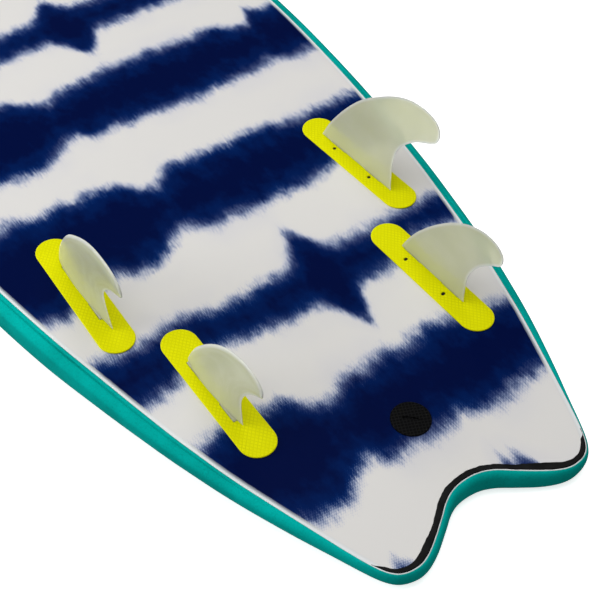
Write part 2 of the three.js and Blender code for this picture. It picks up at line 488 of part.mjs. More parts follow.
// Leash plug: a coin-slotted base on the bottom with a stem through the board, and a cup with a pin in the deck.
{
  const lift = 0.15;
  let base = solid(lathe([[0, lift], [DISC_R - 0.5, lift], [DISC_R, lift + 0.5], [DISC_R, lift + 1.1], [DISC_R - 1.1, lift + 1.75],
    [0, lift + DISC_H]], 30).applyMatrix4(leashFrame));
  const coin = new THREE.Shape();
  coin.moveTo(-10.5, 0); coin.quadraticCurveTo(0, 3.2, 10.5, 0); coin.quadraticCurveTo(0, -3.2, -10.5, 0);
  const coinCut = new THREE.ExtrudeGeometry(coin, { depth: 4, bevelEnabled: false, curveSegments: 5 });
  coinCut.rotateZ(0.83); coinCut.translate(0, 0, lift + DISC_H - 1.3);
  base = base.subtract(solid(coinCut.applyMatrix4(leashFrame)));
  const stemEnd = -leashDepth + CUP_DEPTH + 1.6;
  base = base.add(cylinder(STEM_R, stemEnd, lift + 0.4, 20, leashFrame));
  add('leash_plug_base', geometryOf(base), black);
  const z0 = -0.3, zf = 1.5, z1 = CUP_DEPTH;
  const cupOuter = solid(lathe([[0, z1], [CUP_R - 1, z1], [CUP_R, z1 - 1], [CUP_R, zf], [CUP_R + 4, zf], [CUP_R + 4, z0 + 0.7], [CUP_R + 3.2, z0], [0, z0]].reverse(), 28).applyMatrix4(cupFrame));
  const cupInner = cylinder(CUP_R - 2.2, z0 - 2, z1 - 2, 28, cupFrame);
  const pinTurn = new THREE.Matrix4().makeRotationX(Math.PI / 2).setPosition(0, 0, 3.9);
  const pinFrame = cupFrame.clone().multiply(pinTurn);
  const pinBore = cylinder(1.8, -CUP_R + 0.8, CUP_R - 0.8, 12, pinFrame);
  add('leash_plug_cup', geometryOf(cupOuter.subtract(cupInner).subtract(pinBore)), black);
  add('leash_plug_pin', geometryOf(cylinder(1.5, -CUP_R + 1.1, CUP_R - 1.1, 12, pinFrame)), steel);
}

export default board;
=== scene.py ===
# Soft-top swallow-tail surfboard, lying on its deck with the four fins up.
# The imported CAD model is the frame; this script makes the finished meshes, materials, lights and camera.
# Lengths in the tables are in millimetres, in the board's own datum: x from the middle of the rear fin
# plates towards the nose, y towards the left rail, z up. Every mesh is written in metres.
import json
import math

import bmesh
import bpy
import numpy as np
from mathutils import Matrix, Vector

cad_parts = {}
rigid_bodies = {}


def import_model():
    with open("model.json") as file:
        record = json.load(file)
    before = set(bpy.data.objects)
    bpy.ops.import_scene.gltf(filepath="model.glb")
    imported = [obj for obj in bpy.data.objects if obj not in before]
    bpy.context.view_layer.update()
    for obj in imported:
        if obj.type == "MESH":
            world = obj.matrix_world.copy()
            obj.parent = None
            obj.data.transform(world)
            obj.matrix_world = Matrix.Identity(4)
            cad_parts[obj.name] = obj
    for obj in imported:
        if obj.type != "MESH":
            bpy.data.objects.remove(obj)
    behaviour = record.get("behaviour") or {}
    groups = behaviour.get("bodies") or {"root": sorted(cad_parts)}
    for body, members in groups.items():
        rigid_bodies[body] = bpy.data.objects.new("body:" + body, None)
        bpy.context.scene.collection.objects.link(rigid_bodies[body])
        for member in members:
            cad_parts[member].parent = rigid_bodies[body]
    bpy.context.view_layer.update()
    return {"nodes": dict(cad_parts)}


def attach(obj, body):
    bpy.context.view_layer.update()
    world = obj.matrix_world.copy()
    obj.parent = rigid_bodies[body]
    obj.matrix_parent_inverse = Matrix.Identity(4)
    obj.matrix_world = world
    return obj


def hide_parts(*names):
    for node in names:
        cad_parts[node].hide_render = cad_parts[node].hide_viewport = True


for o in list(bpy.data.objects):
    bpy.data.objects.remove(o)
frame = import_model()
nodes = frame["nodes"]
MM = 0.001
RAD = math.pi / 180

# ---- the board's driving dimensions, as in the CAD ----
BOARD_LENGTH, X_SHIFT, TAIL_X, BOTTOM_Z = 1829.0, -650.18, -264.0, 107.15
PATCH_START, PATCH_END, TAIL_SLOPE, TAIL_BLEND, NOSE_DROP, NOSE_POWER = 1060.0, 1190.0, 0.1806, 600.0, 87.75, 2.1
SKIN, FOAM, GAP, BEVEL_W, BEVEL_H, TUCK = 1.5, 5.0, 0.3, 5.6, 0.3, 6.0
PAD_L, PAD_W, PAD_T, PAD_LIFT = 180.0, 39.5, 1.75, 0.15
PLUG_U, PLUG_L, PLUG_W = (33.5, -27.3), 34.0, 22.0
TAB_L, TAB_T, TAB_D = 26.0, 5.0, 13.5
SCREW_R, SCREW_L, SCREW_V, FIN_N = 1.75, 6.5, 7.6, 2.6
LEASH_X, DISC_R, DISC_H, STEM_R, CUP_R, CUP_DEPTH = -132.8, 20.5, 2.2, 6.0, 16.0, 14.0
FINS = [
    dict(key="front_left", x=182.9, y=180.0, toe=2.9, side=1, kind="front", v=2.7, cant=5.0, tilt=22.0),
    dict(key="front_right", x=182.9, y=180.0, toe=2.9, side=-1, kind="front", v=2.7, cant=5.0, tilt=22.0),
    dict(key="rear_left", x=0.0, y=136.5, toe=1.32, side=1, kind="rear", v=-1.6, cant=2.0, tilt=41.0),
    dict(key="rear_right", x=0.0, y=136.5, toe=1.32, side=-1, kind="rear", v=-1.6, cant=2.0, tilt=41.0),
]
OUTLINE = [[-215.4, 0], [-217.3, 16], [-223.4, 29.9], [-234.6, 45.5], [-247, 63], [-254.5, 75], [-259, 84],
           [-261.4, 92], [-261.8, 100], [-260.1, 109.6], [-256.4, 117], [-249.5, 123.4], [-240, 128.8], [-228, 134],
           [-206, 142.3], [-182, 150.8], [-158, 159.2], [-132, 168.2], [-106, 177], [-79, 185.4], [-51, 193.2],
           [-22, 201], [22, 211.3], [76, 222.9], [143, 236.6], [220, 249.2], [300, 260.4], [400, 271.4], [480, 277.8],
           [580, 282], [680, 283], [800, 280], [930, 270.3], [1060, 253], [1170, 231.5], [1270, 204], [1350, 174.5],
           [1420, 141], [1475, 107.5], [1515, 75], [1541, 44.5], [1554, 20.2], [1558, 0]]
THICK = [[0, 26], [60, 30.5], [120, 38.5], [260, 54], [510, 70], [900, 76], [1200, 73], [1500, 60], [1700, 43], [1829, 21]]
RAIL = [[0, 21.5], [49, 24], [130, 30], [245, 38.5], [340, 48], [494, 58], [800, 60], [1200, 57], [1500, 46], [1700, 34], [1829, 16.5]]
BULGE = [[0, 2.2], [30, 3], [60, 4.4], [100, 7.4], [154, 9.8], [250, 12.6], [340, 13.8], [1500, 13.8], [1829, 7]]
NOTCH_BULGE, NOTCH_RUN = 2.0, 70.0
FOOT_MIN, FOOT_MAX = -120.0, 1440.0

# Leading and trailing edges of the fins, in the plane of the blade: [along the base, height].
EDGES = {
    "front": dict(
        lead=[[61.2, 0], [56.3, 12], [50.6, 24.2], [43.6, 36.2], [31.8, 54], [22, 67], [10.2, 80.7], [-1, 91], [-12, 99.6],
              [-22, 107], [-32.7, 114.1], [-43, 120], [-53.5, 124.6], [-63.5, 127.8], [-73.5, 129.4], [-83, 130],
              [-91.4, 129.3], [-98.6, 127.5], [-104.4, 124.6], [-108.6, 120.6], [-110.8, 115.8], [-111.7, 111.4], [-111.4, 107.8]],
        trail=[[-59.1, 0], [-57.2, 9], [-55.9, 19.2], [-54.9, 27], [-54.6, 35.2], [-54.8, 42], [-55.6, 49], [-57.7, 56],
               [-61, 62.5], [-65.6, 68.8], [-71.6, 75.4], [-78, 81.2], [-85, 86.2], [-92, 90.2], [-98.5, 93.6],
               [-104.2, 97], [-108.3, 100.4], [-110.6, 104], [-111.4, 107.8]]),
    "rear": dict(
        lead=[[50.8, 0], [46, 11], [39.8, 23.4], [32.5, 35.6], [24.1, 47.2], [15.6, 58], [6, 68.8], [-2, 77], [-9.9, 84.3],
              [-17, 89.8], [-23.9, 94.6], [-32.5, 99.8], [-41.7, 103.7], [-49.6, 106.2], [-57.7, 107.5], [-64.6, 107.6],
              [-70.9, 106.3], [-76.6, 104.3], [-81.2, 101.2], [-84.2, 97.6], [-85.6, 93.6], [-85.7, 90], [-85.1, 86.6]],
        trail=[[-49, 0], [-48, 8], [-47.4, 16.4], [-46.9, 27], [-47.2, 34], [-48.6, 40.8], [-51.2, 48], [-54.7, 55],
               [-58.4, 60.8], [-62.9, 66.2], [-68.8, 72], [-75.2, 77.4], [-80, 80.8], [-83.6, 83.6], [-85.1, 86.6]]),
}

# Dye bands across the bottom: rear and front edges as [y, x] tables.
BAND_E = (
    [[-230, -150], [-150, -157], [-120, -159], [-105, -162], [-90, -166], [-75, -163], [-60, -160], [-45, -150], [-30, -158],
     [0, -159], [15, -154], [30, -158], [45, -156], [60, -144], [75, -147], [90, -160], [105, -172], [120, -171], [135, -176],
     [150, -168], [165, -172], [230, -165]],
    [[-230, -70], [-150, -66], [-120, -59], [-105, -54], [-90, -50], [-75, -55], [-60, -56], [-45, -61], [-30, -52], [0, -59],
     [15, -57], [30, -57], [45, -72], [60, -71], [75, -61], [90, -45], [105, -44], [120, -42], [165, -39], [180, -44], [230, -50]])
BAND_D = (
    [[-230, 48], [-210, 50], [-195, 52], [-165, 58], [-135, 44], [-105, 34], [-75, 35], [-64, 30], [-54, 6], [-48, -12], [-42, -12],
     [-36, 0], [-26, 20], [-15, 36], [15, 35], [45, 38], [75, 42], [105, 49], [150, 38], [165, 30], [195, 25], [240, 22]],
    [[-230, 92], [-210, 94], [-165, 94], [-105, 93], [-75, 95], [-66, 104], [-58, 120], [-50, 136], [-44, 139], [-38, 126],
     [-30, 109], [-15, 91], [15, 91], [45, 87], [75, 86], [105, 97], [120, 101], [150, 94], [195, 94], [240, 96]])
BAND_C = (
    [[-260, 190], [-230, 196], [-210, 204], [-150, 199], [-135, 193], [-105, 188], [-75, 192], [-45, 188], [-15, 194], [0, 193],
     [15, 192], [30, 203], [45, 209], [60, 201], [75, 188], [90, 180], [105, 176], [120, 179], [135, 189], [165, 182],
     [195, 172], [210, 163], [225, 167], [270, 172]],
    [[-260, 282], [-210, 287], [-150, 286], [-135, 293], [-105, 295], [-75, 292], [-45, 296], [-15, 295], [0, 301], [15, 293],
     [30, 277], [45, 282], [60, 296], [75, 308], [90, 308], [105, 311], [120, 304], [135, 312], [165, 306], [195, 318],
     [210, 314], [270, 306]])
BAND_B = (
    [[-290, 384], [-255, 383], [-240, 379], [-225, 386], [-210, 396], [-180, 387], [-150, 388], [-120, 389], [-90, 382],
     [-60, 388], [-30, 392], [0, 389], [15, 395], [45, 390], [60, 404], [75, 404], [90, 392], [105, 382], [120, 379],
     [135, 374], [170, 380], [210, 386], [290, 380]],
    [[-290, 490], [-255, 487], [-240, 499], [-225, 470], [-210, 473], [-180, 488], [-120, 489], [-90, 495], [-60, 490],
     [-30, 493], [0, 490], [30, 486], [45, 484], [60, 473], [75, 480], [90, 493], [105, 503], [150, 498], [210, 490], [290, 494]])
BAND_A = (
    [[-290, 578], [-200, 574], [-120, 574], [-60, 573], [-52, 560], [-45, 549], [-36, 534], [-30, 531], [-24, 540], [-15, 559],
     [0, 577], [45, 580], [120, 576], [200, 582], [290, 578]],
    [[-290, 630], [-200, 628], [-120, 632], [-60, 634], [-45, 647], [-36, 662], [-30, 664], [-22, 655], [-15, 642], [0, 629],
     [45, 627], [120, 632], [200, 626], [290, 630]])
HINTS = (
    [[-300, -400], [300, -400]],
    [[-140, -285], [-92, -275], [-76, -256], [-66, -228], [-57, -214], [-50, -220], [-44, -211], [-36, -224], [-26, -250], [-10, -285],
     [70, -285], [90, -268], [98, -253], [104, -246], [109, -242], [114, -247], [120, -253], [128, -262], [140, -285]])
PERIOD = 540.0


# ---- shape functions; s is the distance from the tail tips ----
def smooth(v):
    c = np.clip(v, 0.0, 1.0)
    return c * c * (3 - 2 * c)


def curve_at(table, x):
    t = np.array(table, float)
    xs, ys = t[:, 0], t[:, 1]
    slope = np.diff(ys) / np.diff(xs)
    tan = np.empty(len(xs))
    tan[0], tan[-1] = slope[0], slope[-1]
    l, r = slope[:-1], slope[1:]
    with np.errstate(divide="ignore", invalid="ignore"):
        tan[1:-1] = np.where(l * r <= 0, 0.0, 2 * l * r / np.where(l + r == 0, 1, l + r))
    x = np.clip(np.asarray(x, float), xs[0], xs[-1])
    k = np.clip(np.searchsorted(xs, x, side="left") - 1, 0, len(xs) - 2)
    h = xs[k + 1] - xs[k]
    u = (x - xs[k]) / h
    u2, u3 = u * u, u * u * u
    return ((2 * u3 - 3 * u2 + 1) * ys[k] + (u3 - 2 * u2 + u) * h * tan[k]
            + (3 * u2 - 2 * u3) * ys[k + 1] + (u3 - u2) * h * tan[k + 1])


def bottom_z(s):
    s = np.asarray(s, float)
    x = np.maximum(PATCH_START - s, 0)
    e = np.maximum(s - PATCH_END, 0) / (BOARD_LENGTH - PATCH_END)
    return BOTTOM_Z - TAIL_SLOPE * (x - TAIL_BLEND * np.log(1 + x / TAIL_BLEND)) - NOSE_DROP * e ** NOSE_POWER


def bevel_factor(s):
    return smooth((np.asarray(s, float) - 60) / 130)


def notch(t):
    return smooth((tip_t - np.abs(t)) / NOTCH_RUN)


def to_s(x):
    return np.asarray(x, float) - TAIL_X


# ---- plan outline as a dense closed curve ----
def closed_spline(points, per):
    p = np.array(points, float)
    n = len(p)
    out = []
    u = np.arange(per) / per
    for i in range(n):
        p0, p1, p2, p3 = p[(i - 1) % n], p[i], p[(i + 1) % n], p[(i + 2) % n]
        d0, d1, d2 = (np.linalg.norm(b - a) ** 0.5 for a, b in ((p0, p1), (p1, p2), (p2, p3)))
        t1 = ((p1 - p0) / d0 - (p2 - p0) / (d0 + d1) + (p2 - p1) / d1) * d1
        t2 = ((p2 - p1) / d1 - (p3 - p1) / (d1 + d2) + (p3 - p2) / d2) * d1
        c2, c3 = -3 * p1 + 3 * p2 - 2 * t1 - t2, 2 * p1 - 2 * p2 + t1 + t2
        w = u[:, None]
        out.append(p1 + t1 * w + c2 * w ** 2 + c3 * w ** 3)
    return np.concatenate(out)


loop = OUTLINE + [[x, -y] for x, y in OUTLINE[1:-1][::-1]]
DENSE = 40
dense = closed_spline(loop, DENSE)
HALF = (len(OUTLINE) - 1) * DENSE
seg = np.linalg.norm(np.diff(dense[:HALF + 1], axis=0), axis=1)
arc = np.concatenate([[0], np.cumsum(seg)])
HALF_LENGTH = arc[HALF]
coarse = dense[::8]
CA, CB = coarse, np.roll(coarse, -1, axis=0)
CD = CB - CA
CL = (CD ** 2).sum(1)
tip_t = arc[next(i for i in range(HALF + 1) if dense[i][1] > 118 and dense[i][0] > -250)]


def edge_distance(x, y):
    x, y = np.atleast_1d(x).astype(float), np.atleast_1d(y).astype(float)
    out = np.empty(len(x))
    for a in range(0, len(x), 4000):
        px, py = x[a:a + 4000, None], y[a:a + 4000, None]
        u = np.clip(((px - CA[:, 0]) * CD[:, 0] + (py - CA[:, 1]) * CD[:, 1]) / CL, 0, 1)
        out[a:a + 4000] = np.sqrt(((CA[:, 0] + u * CD[:, 0] - px) ** 2 + (CA[:, 1] + u * CD[:, 1] - py) ** 2).min(1))
    return out


class Stations:
    """Places round the outline at signed arc length t from the notch, the left side for t > 0."""

    def __init__(self, t):
        self.t = t = np.asarray(t, float)
        side = np.where(t < 0, -1.0, 1.0)
        a = np.minimum(np.abs(t), HALF_LENGTH)
        i = np.clip(np.searchsorted(arc, a, side="right") - 1, 0, HALF - 1)
        u = (a - arc[i]) / (arc[i + 1] - arc[i])
        p = dense[i] + u[:, None] * (dense[i + 1] - dense[i])
        at = dense[(i - 3) % len(dense)]
        to = dense[(i + 4) % len(dense)]
        tan = to - at
        tan /= np.linalg.norm(tan, axis=1)[:, None]
        ends = (a == 0) | (a == HALF_LENGTH)
        tan[ends] = np.where((a[ends] == 0)[:, None], [0.0, 1.0], [0.0, -1.0])
        self.x, self.y = p[:, 0], side * p[:, 1]
        self.nx, self.ny = -tan[:, 1], side * tan[:, 0]
        self.fx = np.clip(self.x, FOOT_MIN, FOOT_MAX)
        self.s = to_s(self.x)
        self.cache = {}

    def at(self, n):
        """Plan points at signed distance n from the seam: outward, or in along the cross line."""
        n = np.broadcast_to(np.asarray(n, float), self.x.shape)
        dx, dy = self.fx - self.x, -self.y
        lo, hi = np.zeros(len(n)), np.minimum(0.9, 6 * np.maximum(-n, 0) / np.maximum(np.hypot(dx, dy), 1e-6))
        if (n < 0).any():
            for _ in range(24):
                m = (lo + hi) / 2
                near = edge_distance(self.x + m * dx, self.y + m * dy) < -n
                lo, hi = np.where(near, m, lo), np.where(near, hi, m)
        out = n >= 0
        return np.where(out, self.x + n * self.nx, self.x + lo * dx), np.where(out, self.y + n * self.ny, self.y + lo * dy)


width_table = [[float(to_s(x)), y] for i, (x, y) in enumerate(OUTLINE) if i > 8]


def half_width(s):
    s = np.asarray(s, float)
    return np.maximum(30.0, np.where(s < width_table[0][0], width_table[0][1], curve_at(width_table, s)))


def deck_depth(s, y):
    rail = BEVEL_H * bevel_factor(s) + curve_at(RAIL, s)
    crown = np.maximum(0, curve_at(THICK, s) - rail)
    return rail + crown * (1 - np.clip(np.abs(y) / half_width(s), 0, 1) ** 2.4)


def skin_top(x, d):
    s = to_s(x)
    return bottom_z(s) - BEVEL_H * bevel_factor(s) * np.clip(1 - d / BEVEL_W, 0, 1)


# ---- mesh helpers ----
def to_world(x, y, z):
    return np.stack([(np.asarray(x) + X_SHIFT) * MM, np.asarray(y) * MM, np.asarray(z) * MM], axis=-1)


def make_object(name, verts, faces, matrix=None, sharp=38, flip_check=True):
    mesh = bpy.data.meshes.new(name)
    mesh.from_pydata([tuple(v) for v in np.asarray(verts, float)], [], [tuple(int(i) for i in f) for f in faces])
    mesh.update()
    bm = bmesh.new()
    bm.from_mesh(mesh)
    bmesh.ops.remove_doubles(bm, verts=bm.verts, dist=2e-6)
    bmesh.ops.dissolve_degenerate(bm, edges=bm.edges, dist=1e-7)
    bmesh.ops.recalc_face_normals(bm, faces=bm.faces)
    bm.to_mesh(mesh)
    bm.free()
    obj = bpy.data.objects.new(name, mesh)
    bpy.context.scene.collection.objects.link(obj)
    if matrix is not None:
        obj.matrix_world = matrix
    shade(obj, sharp)
    return obj


def shade(obj, sharp=38):
    obj.data.polygons.foreach_set("use_smooth", [True] * len(obj.data.polygons))
    obj.data.set_sharp_from_angle(angle=sharp * RAD)


def apply_modifiers(obj):
    dg = bpy.context.evaluated_depsgraph_get()
    mesh = bpy.data.meshes.new_from_object(obj.evaluated_get(dg), preserve_all_data_layers=True, depsgraph=dg)
    obj.modifiers.clear()
    obj.data = mesh
    return obj


def boolean(obj, cutter, operation="DIFFERENCE", keep=False, solver="EXACT"):
    m = obj.modifiers.new("cut", "BOOLEAN")
    m.operation, m.solver, m.object = operation, solver, cutter
    bpy.context.view_layer.update()
    apply_modifiers(obj)
    if not keep:
        bpy.data.objects.remove(cutter)
    return obj


def box_mesh(x0, x1, y0, y1, z0, z1, bevel=0.0, segments=3):
    bm = bmesh.new()
    bmesh.ops.create_cube(bm, size=1.0)
    for v in bm.verts:
        v.co = Vector(((x0 + x1) / 2 + v.co.x * (x1 - x0), (y0 + y1) / 2 + v.co.y * (y1 - y0), (z0 + z1) / 2 + v.co.z * (z1 - z0))) * MM
    if bevel:
        bmesh.ops.bevel(bm, geom=bm.edges[:], offset=bevel * MM, segments=segments, affect="EDGES", profile=0.5)
    vs = [v.co.copy() for v in bm.verts]
    fs = [[v.index for v in f.verts] for f in bm.faces]
    bm.free()
    return vs, fs


def lathe_mesh(profile, sides, closed=False):
    """Turns [radius, height] points, from axis to axis, or as a closed ring, about the local z axis."""
    verts, faces, rows = [], [], []
    for r, z in profile:
        if r < 1e-9:
            rows.append([len(verts)])
            verts.append((0, 0, z * MM))
        else:
            rows.append(list(range(len(verts), len(verts) + sides)))
            verts += [(r * MM * math.cos(2 * math.pi * i / sides), r * MM * math.sin(2 * math.pi * i / sides), z * MM) for i in range(sides)]
    pairs = list(zip(rows, rows[1:])) + ([(rows[-1], rows[0])] if closed else [])
    for a, b in pairs:
        for i in range(sides):
            j = (i + 1) % sides
            if len(a) == 1 and len(b) > 1:
                faces.append([a[0], b[i], b[j]])
            elif len(b) == 1 and len(a) > 1:
                faces.append([a[i], b[0], a[j]])
            elif len(a) > 1:
                faces.append([a[i], b[i], b[j], a[j]])
    return verts, faces


def merge(parts):
    verts, faces = [], []
    for vs, fs in parts:
        base = len(verts)
        verts += [tuple(v) for v in vs]
        faces += [[i + base for i in f] for f in fs]
    return verts, faces


def moved(part, matrix):
    return [matrix @ Vector(v) for v in part[0]], part[1]


def rings_mesh(rings, first=None, last=None, close_rings=True):
    """A skin over a stack of rings of the same length. first and last are the foot rings at the two ends."""
    n = len(rings[0])
    stack = ([first] if first is not None else []) + list(rings) + ([last] if last is not None else [])
    verts = np.concatenate(stack)
    faces = []
    i = np.arange(n)
    j = (i + 1) % n
    if not close_rings:
        i, j = i[:-1], j[:-1]
    for k in range(len(stack) - 1):
        a, b = k * n, (k + 1) * n
        faces.append(np.stack([a + i, a + j, b + j, b + i], axis=1))
    return verts, np.concatenate(faces)


def swept(sections, cap=True):
    """Skin over open-ended closed sections: array [station, point, 3], with a fan over each end."""
    m, k, _ = sections.shape
    verts = sections.reshape(-1, 3)
    faces = []
    for s in range(m - 1):
        for i in range(k):
            j = (i + 1) % k
            faces.append([s * k + i, s * k + j, (s + 1) * k + j, (s + 1) * k + i])
    if cap:
        faces.append(list(range(k)))
        faces.append(list(range((m - 1) * k, m * k))[::-1])
    return verts, faces


def attribute(obj, name, values):
    a = obj.data.attributes.new(name, "FLOAT", "POINT")
    a.data.foreach_set("value", np.asarray(values, np.float32))


def vertex_array(obj):
    co = np.empty(len(obj.data.vertices) * 3)
    obj.data.vertices.foreach_get("co", co)
    return co.reshape(-1, 3)


# ---- node helpers ----
class Net:
    def __init__(self, name):
        self.material = bpy.data.materials.new(name)
        self.material.use_nodes = True
        self.tree = self.material.node_tree
        self.tree.nodes.clear()
        self.out = self.tree.nodes.new("ShaderNodeOutputMaterial")
        self.bsdf = self.tree.nodes.new("ShaderNodeBsdfPrincipled")
        self.tree.links.new(self.bsdf.outputs[0], self.out.inputs["Surface"])
        self.coord = self.tree.nodes.new("ShaderNodeTexCoord")

    def put(self, socket, value):
        if isinstance(value, bpy.types.NodeSocket):
            self.tree.links.new(value, socket)
        elif value is not None:
            socket.default_value = value

    def set(self, **values):
        for k, v in values.items():
            self.put(self.bsdf.inputs[k.replace("_", " ")], v)

    def mm(self, sx=1.0, sy=1.0, sz=1.0, rot=0.0, shift=(0, 0, 0)):
        """Object coordinates, times 1000 and the scales given."""
        n = self.tree.nodes.new("ShaderNodeMapping")
        n.inputs["Scale"].default_value = (1000 * sx, 1000 * sy, 1000 * sz)
        n.inputs["Rotation"].default_value = (0, 0, rot)
        n.inputs["Location"].default_value = shift
        self.tree.links.new(self.coord.outputs["Object"], n.inputs["Vector"])
        return n.outputs[0]

    def noise(self, vector, scale=1.0, detail=2.0, rough=0.5, dims="3D"):
        n = self.tree.nodes.new("ShaderNodeTexNoise")
        n.noise_dimensions = dims
        self.put(n.inputs["Vector"], vector)
        n.inputs["Scale"].default_value = scale
        n.inputs["Detail"].default_value = detail
        n.inputs["Roughness"].default_value = rough
        return n.outputs["Fac"]

    def voronoi(self, vector, scale=1.0, feature="F1"):
        n = self.tree.nodes.new("ShaderNodeTexVoronoi")
        n.feature = feature
        self.put(n.inputs["Vector"], vector)
        n.inputs["Scale"].default_value = scale
        return n.outputs["Distance"]

    def math(self, op, a, b=None, c=None, clamp=False):
        n = self.tree.nodes.new("ShaderNodeMath")
        n.operation, n.use_clamp = op, clamp
        for s, v in zip(n.inputs, (a, b, c)):
            self.put(s, v)
        return n.outputs[0]

    def range(self, v, a, b, c=0.0, d=1.0, kind="SMOOTHSTEP"):
        n = self.tree.nodes.new("ShaderNodeMapRange")
        n.interpolation_type = kind
        for s, w in zip(n.inputs, (v, a, b, c, d)):
            self.put(s, w)
        return n.outputs[0]

    def attr(self, name):
        n = self.tree.nodes.new("ShaderNodeAttribute")
        n.attribute_name = name
        return n.outputs["Fac"]

    def xyz(self, vector):
        n = self.tree.nodes.new("ShaderNodeSeparateXYZ")
        self.put(n.inputs[0], vector)
        return n.outputs

    def mix(self, f, a, b, blend="MIX"):
        n = self.tree.nodes.new("ShaderNodeMix")
        n.data_type, n.blend_type = "RGBA", blend
        self.put(n.inputs[0], f)
        self.put(n.inputs[6], a)
        self.put(n.inputs[7], b)
        return n.outputs[2]

    def ramp(self, f, stops, interp="LINEAR"):
        n = self.tree.nodes.new("ShaderNodeValToRGB")
        n.color_ramp.interpolation = interp
        e = n.color_ramp.elements
        while len(e) < len(stops):
            e.new(0.5)
        for el, (p, c) in zip(e, stops):
            el.position, el.color = p, c
        self.put(n.inputs[0], f)
        return n.outputs[0]

    def bump(self, height, strength, distance, normal=None):
        n = self.tree.nodes.new("ShaderNodeBump")
        n.inputs["Strength"].default_value = strength
        n.inputs["Distance"].default_value = distance * MM
        self.put(n.inputs["Height"], height)
        if normal is not None:
            self.put(n.inputs["Normal"], normal)
        return n.outputs[0]


def srgb(r, g, b):
    f = lambda c: c / 12.92 if c <= 0.04045 else ((c + 0.055) / 1.055) ** 2.4
    return tuple(f(c / 255) for c in (r, g, b)) + (1.0,)


def slick_material():
    n = Net("slick_bottom")
    dye, inside = n.attr("dye"), n.attr("inside")
    pale = n.math("MULTIPLY", n.range(n.xyz(n.mm())[0], X_SHIFT - 186.0, X_SHIFT - 205.0), 7.0)
    threads = n.noise(n.mm(1 / 17, 1 / 2.3, 1 / 60), 1.0, 2.0, 0.6)
    fine = n.noise(n.mm(1 / 7, 1 / 1.1, 1 / 60), 1.0, 1.0, 0.5)
    blot = n.noise(n.mm(1 / 22, 1 / 16, 1 / 60), 1.0, 3.0, 0.6)
    x, y, _ = n.xyz(n.mm())
    weft = n.math("SINE", n.math("MULTIPLY", x, 2 * math.pi / 2.4))
    warp = n.math("SINE", n.math("MULTIPLY", y, 2 * math.pi / 2.1))
    weave = n.math("MULTIPLY", weft, warp)
    d = n.math("MULTIPLY_ADD", n.math("SUBTRACT", threads, 0.5), 10.0, dye)
    d = n.math("MULTIPLY_ADD", n.math("SUBTRACT", fine, 0.5), 9.0, d)
    d = n.math("MULTIPLY_ADD", n.math("SUBTRACT", blot, 0.5), 22.0, d)
    d = n.math("MULTIPLY_ADD", weave, 4.4, d)
    d = n.math("SUBTRACT", d, pale)
    cover = n.range(d, -14.0, 13.0, kind="LINEAR")
    colour = n.ramp(cover, [(0.0, WHITE), (0.14, srgb(212, 211, 214)), (0.3, srgb(176, 182, 200)), (0.45, srgb(118, 132, 166)),
                            (0.6, srgb(52, 74, 122)), (0.75, srgb(8, 38, 94)), (0.88, srgb(0, 31, 88)), (1.0, srgb(0, 26, 80))])
    deep = n.range(n.math("MULTIPLY_ADD", n.math("SUBTRACT", blot, 0.5), 70.0, dye), 8.0, 42.0)
    core = n.mix(n.math("MULTIPLY", deep, 0.85), colour, srgb(0, 8, 54))
    tint = n.noise(n.mm(1 / 90, 1 / 70, 1 / 60), 1.0, 2.0, 0.5)
    haze = n.math("MULTIPLY", n.range(dye, -46.0, -10.0), n.range(tint, 0.38, 0.66))
    white_tint = n.mix(n.math("MULTIPLY", n.math("SUBTRACT", 1.0, cover), n.math("MULTIPLY", haze, 0.22)), core, srgb(196, 197, 212))
    edge_wobble = n.noise(n.mm(1 / 9, 1 / 9, 1 / 60), 1.0, 2.0, 0.5)
    print_on = n.range(n.math("MULTIPLY_ADD", n.math("SUBTRACT", edge_wobble, 0.5), 0.9, inside), 4.4, 5.6)
    bleed = n.mix(cover, srgb(216, 216, 215), srgb(120, 126, 138))
    # painted highlight: within about 1 mm of the outer edge the sheet turns a brighter cyan-white (226, 231, 232) than
    # its own white, a highlight painted along the rounded edge; further in it blends to the dye bleed, which is grey
    # next to the print
    margin_bleed_and_edge_highlight = n.mix(n.range(inside, 1.1, 4.8), srgb(226, 231, 232), bleed)
    base = n.mix(print_on, margin_bleed_and_edge_highlight, white_tint)
    under = n.range(n.xyz(n.coord.outputs["Normal"])[2], -0.2, 0.1)
    base = n.mix(under, srgb(210, 210, 208), base)
    n.set(Base_Color=base, Roughness=n.range(threads, 0.3, 0.7, 0.36, 0.44), Specular_IOR_Level=0.02, IOR=1.45)
    grain = n.math("MULTIPLY_ADD", weave, 0.25, n.math("MULTIPLY", fine, 0.6))
    n.set(Normal=n.bump(grain, 0.12, 0.12))
    return n.material


def foam_material(name="teal_foam", tone=1.0):
    n = Net(name)
    p = n.mm()
    cells = n.voronoi(p, 0.62)
    mottle = n.noise(p, 0.016, 3.0, 0.6)
    speck = n.noise(p, 0.42, 2.0, 0.6)
    colour = n.ramp(n.range(mottle, 0.3, 0.7), [(0.0, srgb(0, 152, 144)), (0.5, srgb(0, 162, 154)), (1.0, srgb(0, 172, 164))])
    colour = n.mix(n.math("MULTIPLY", n.range(speck, 0.42, 0.72), 0.2), colour, srgb(0, 190, 180))
    colour = n.mix(n.math("MULTIPLY", n.range(cells, 0.55, 0.9), 0.18), colour, srgb(0, 92, 86))
    n.set(Base_Color=colour, Roughness=n.range(speck, 0.3, 0.7, 0.75, 0.9), Specular_IOR_Level=0.02)
    h = n.math("MULTIPLY_ADD", speck, 0.7, n.math("MULTIPLY", cells, 0.5))
    wave = n.noise(p, 0.03, 2.0, 0.5)
    n.set(Normal=n.bump(h, 0.3, 0.22, n.bump(wave, 0.35, 2.0)))
    return n.material


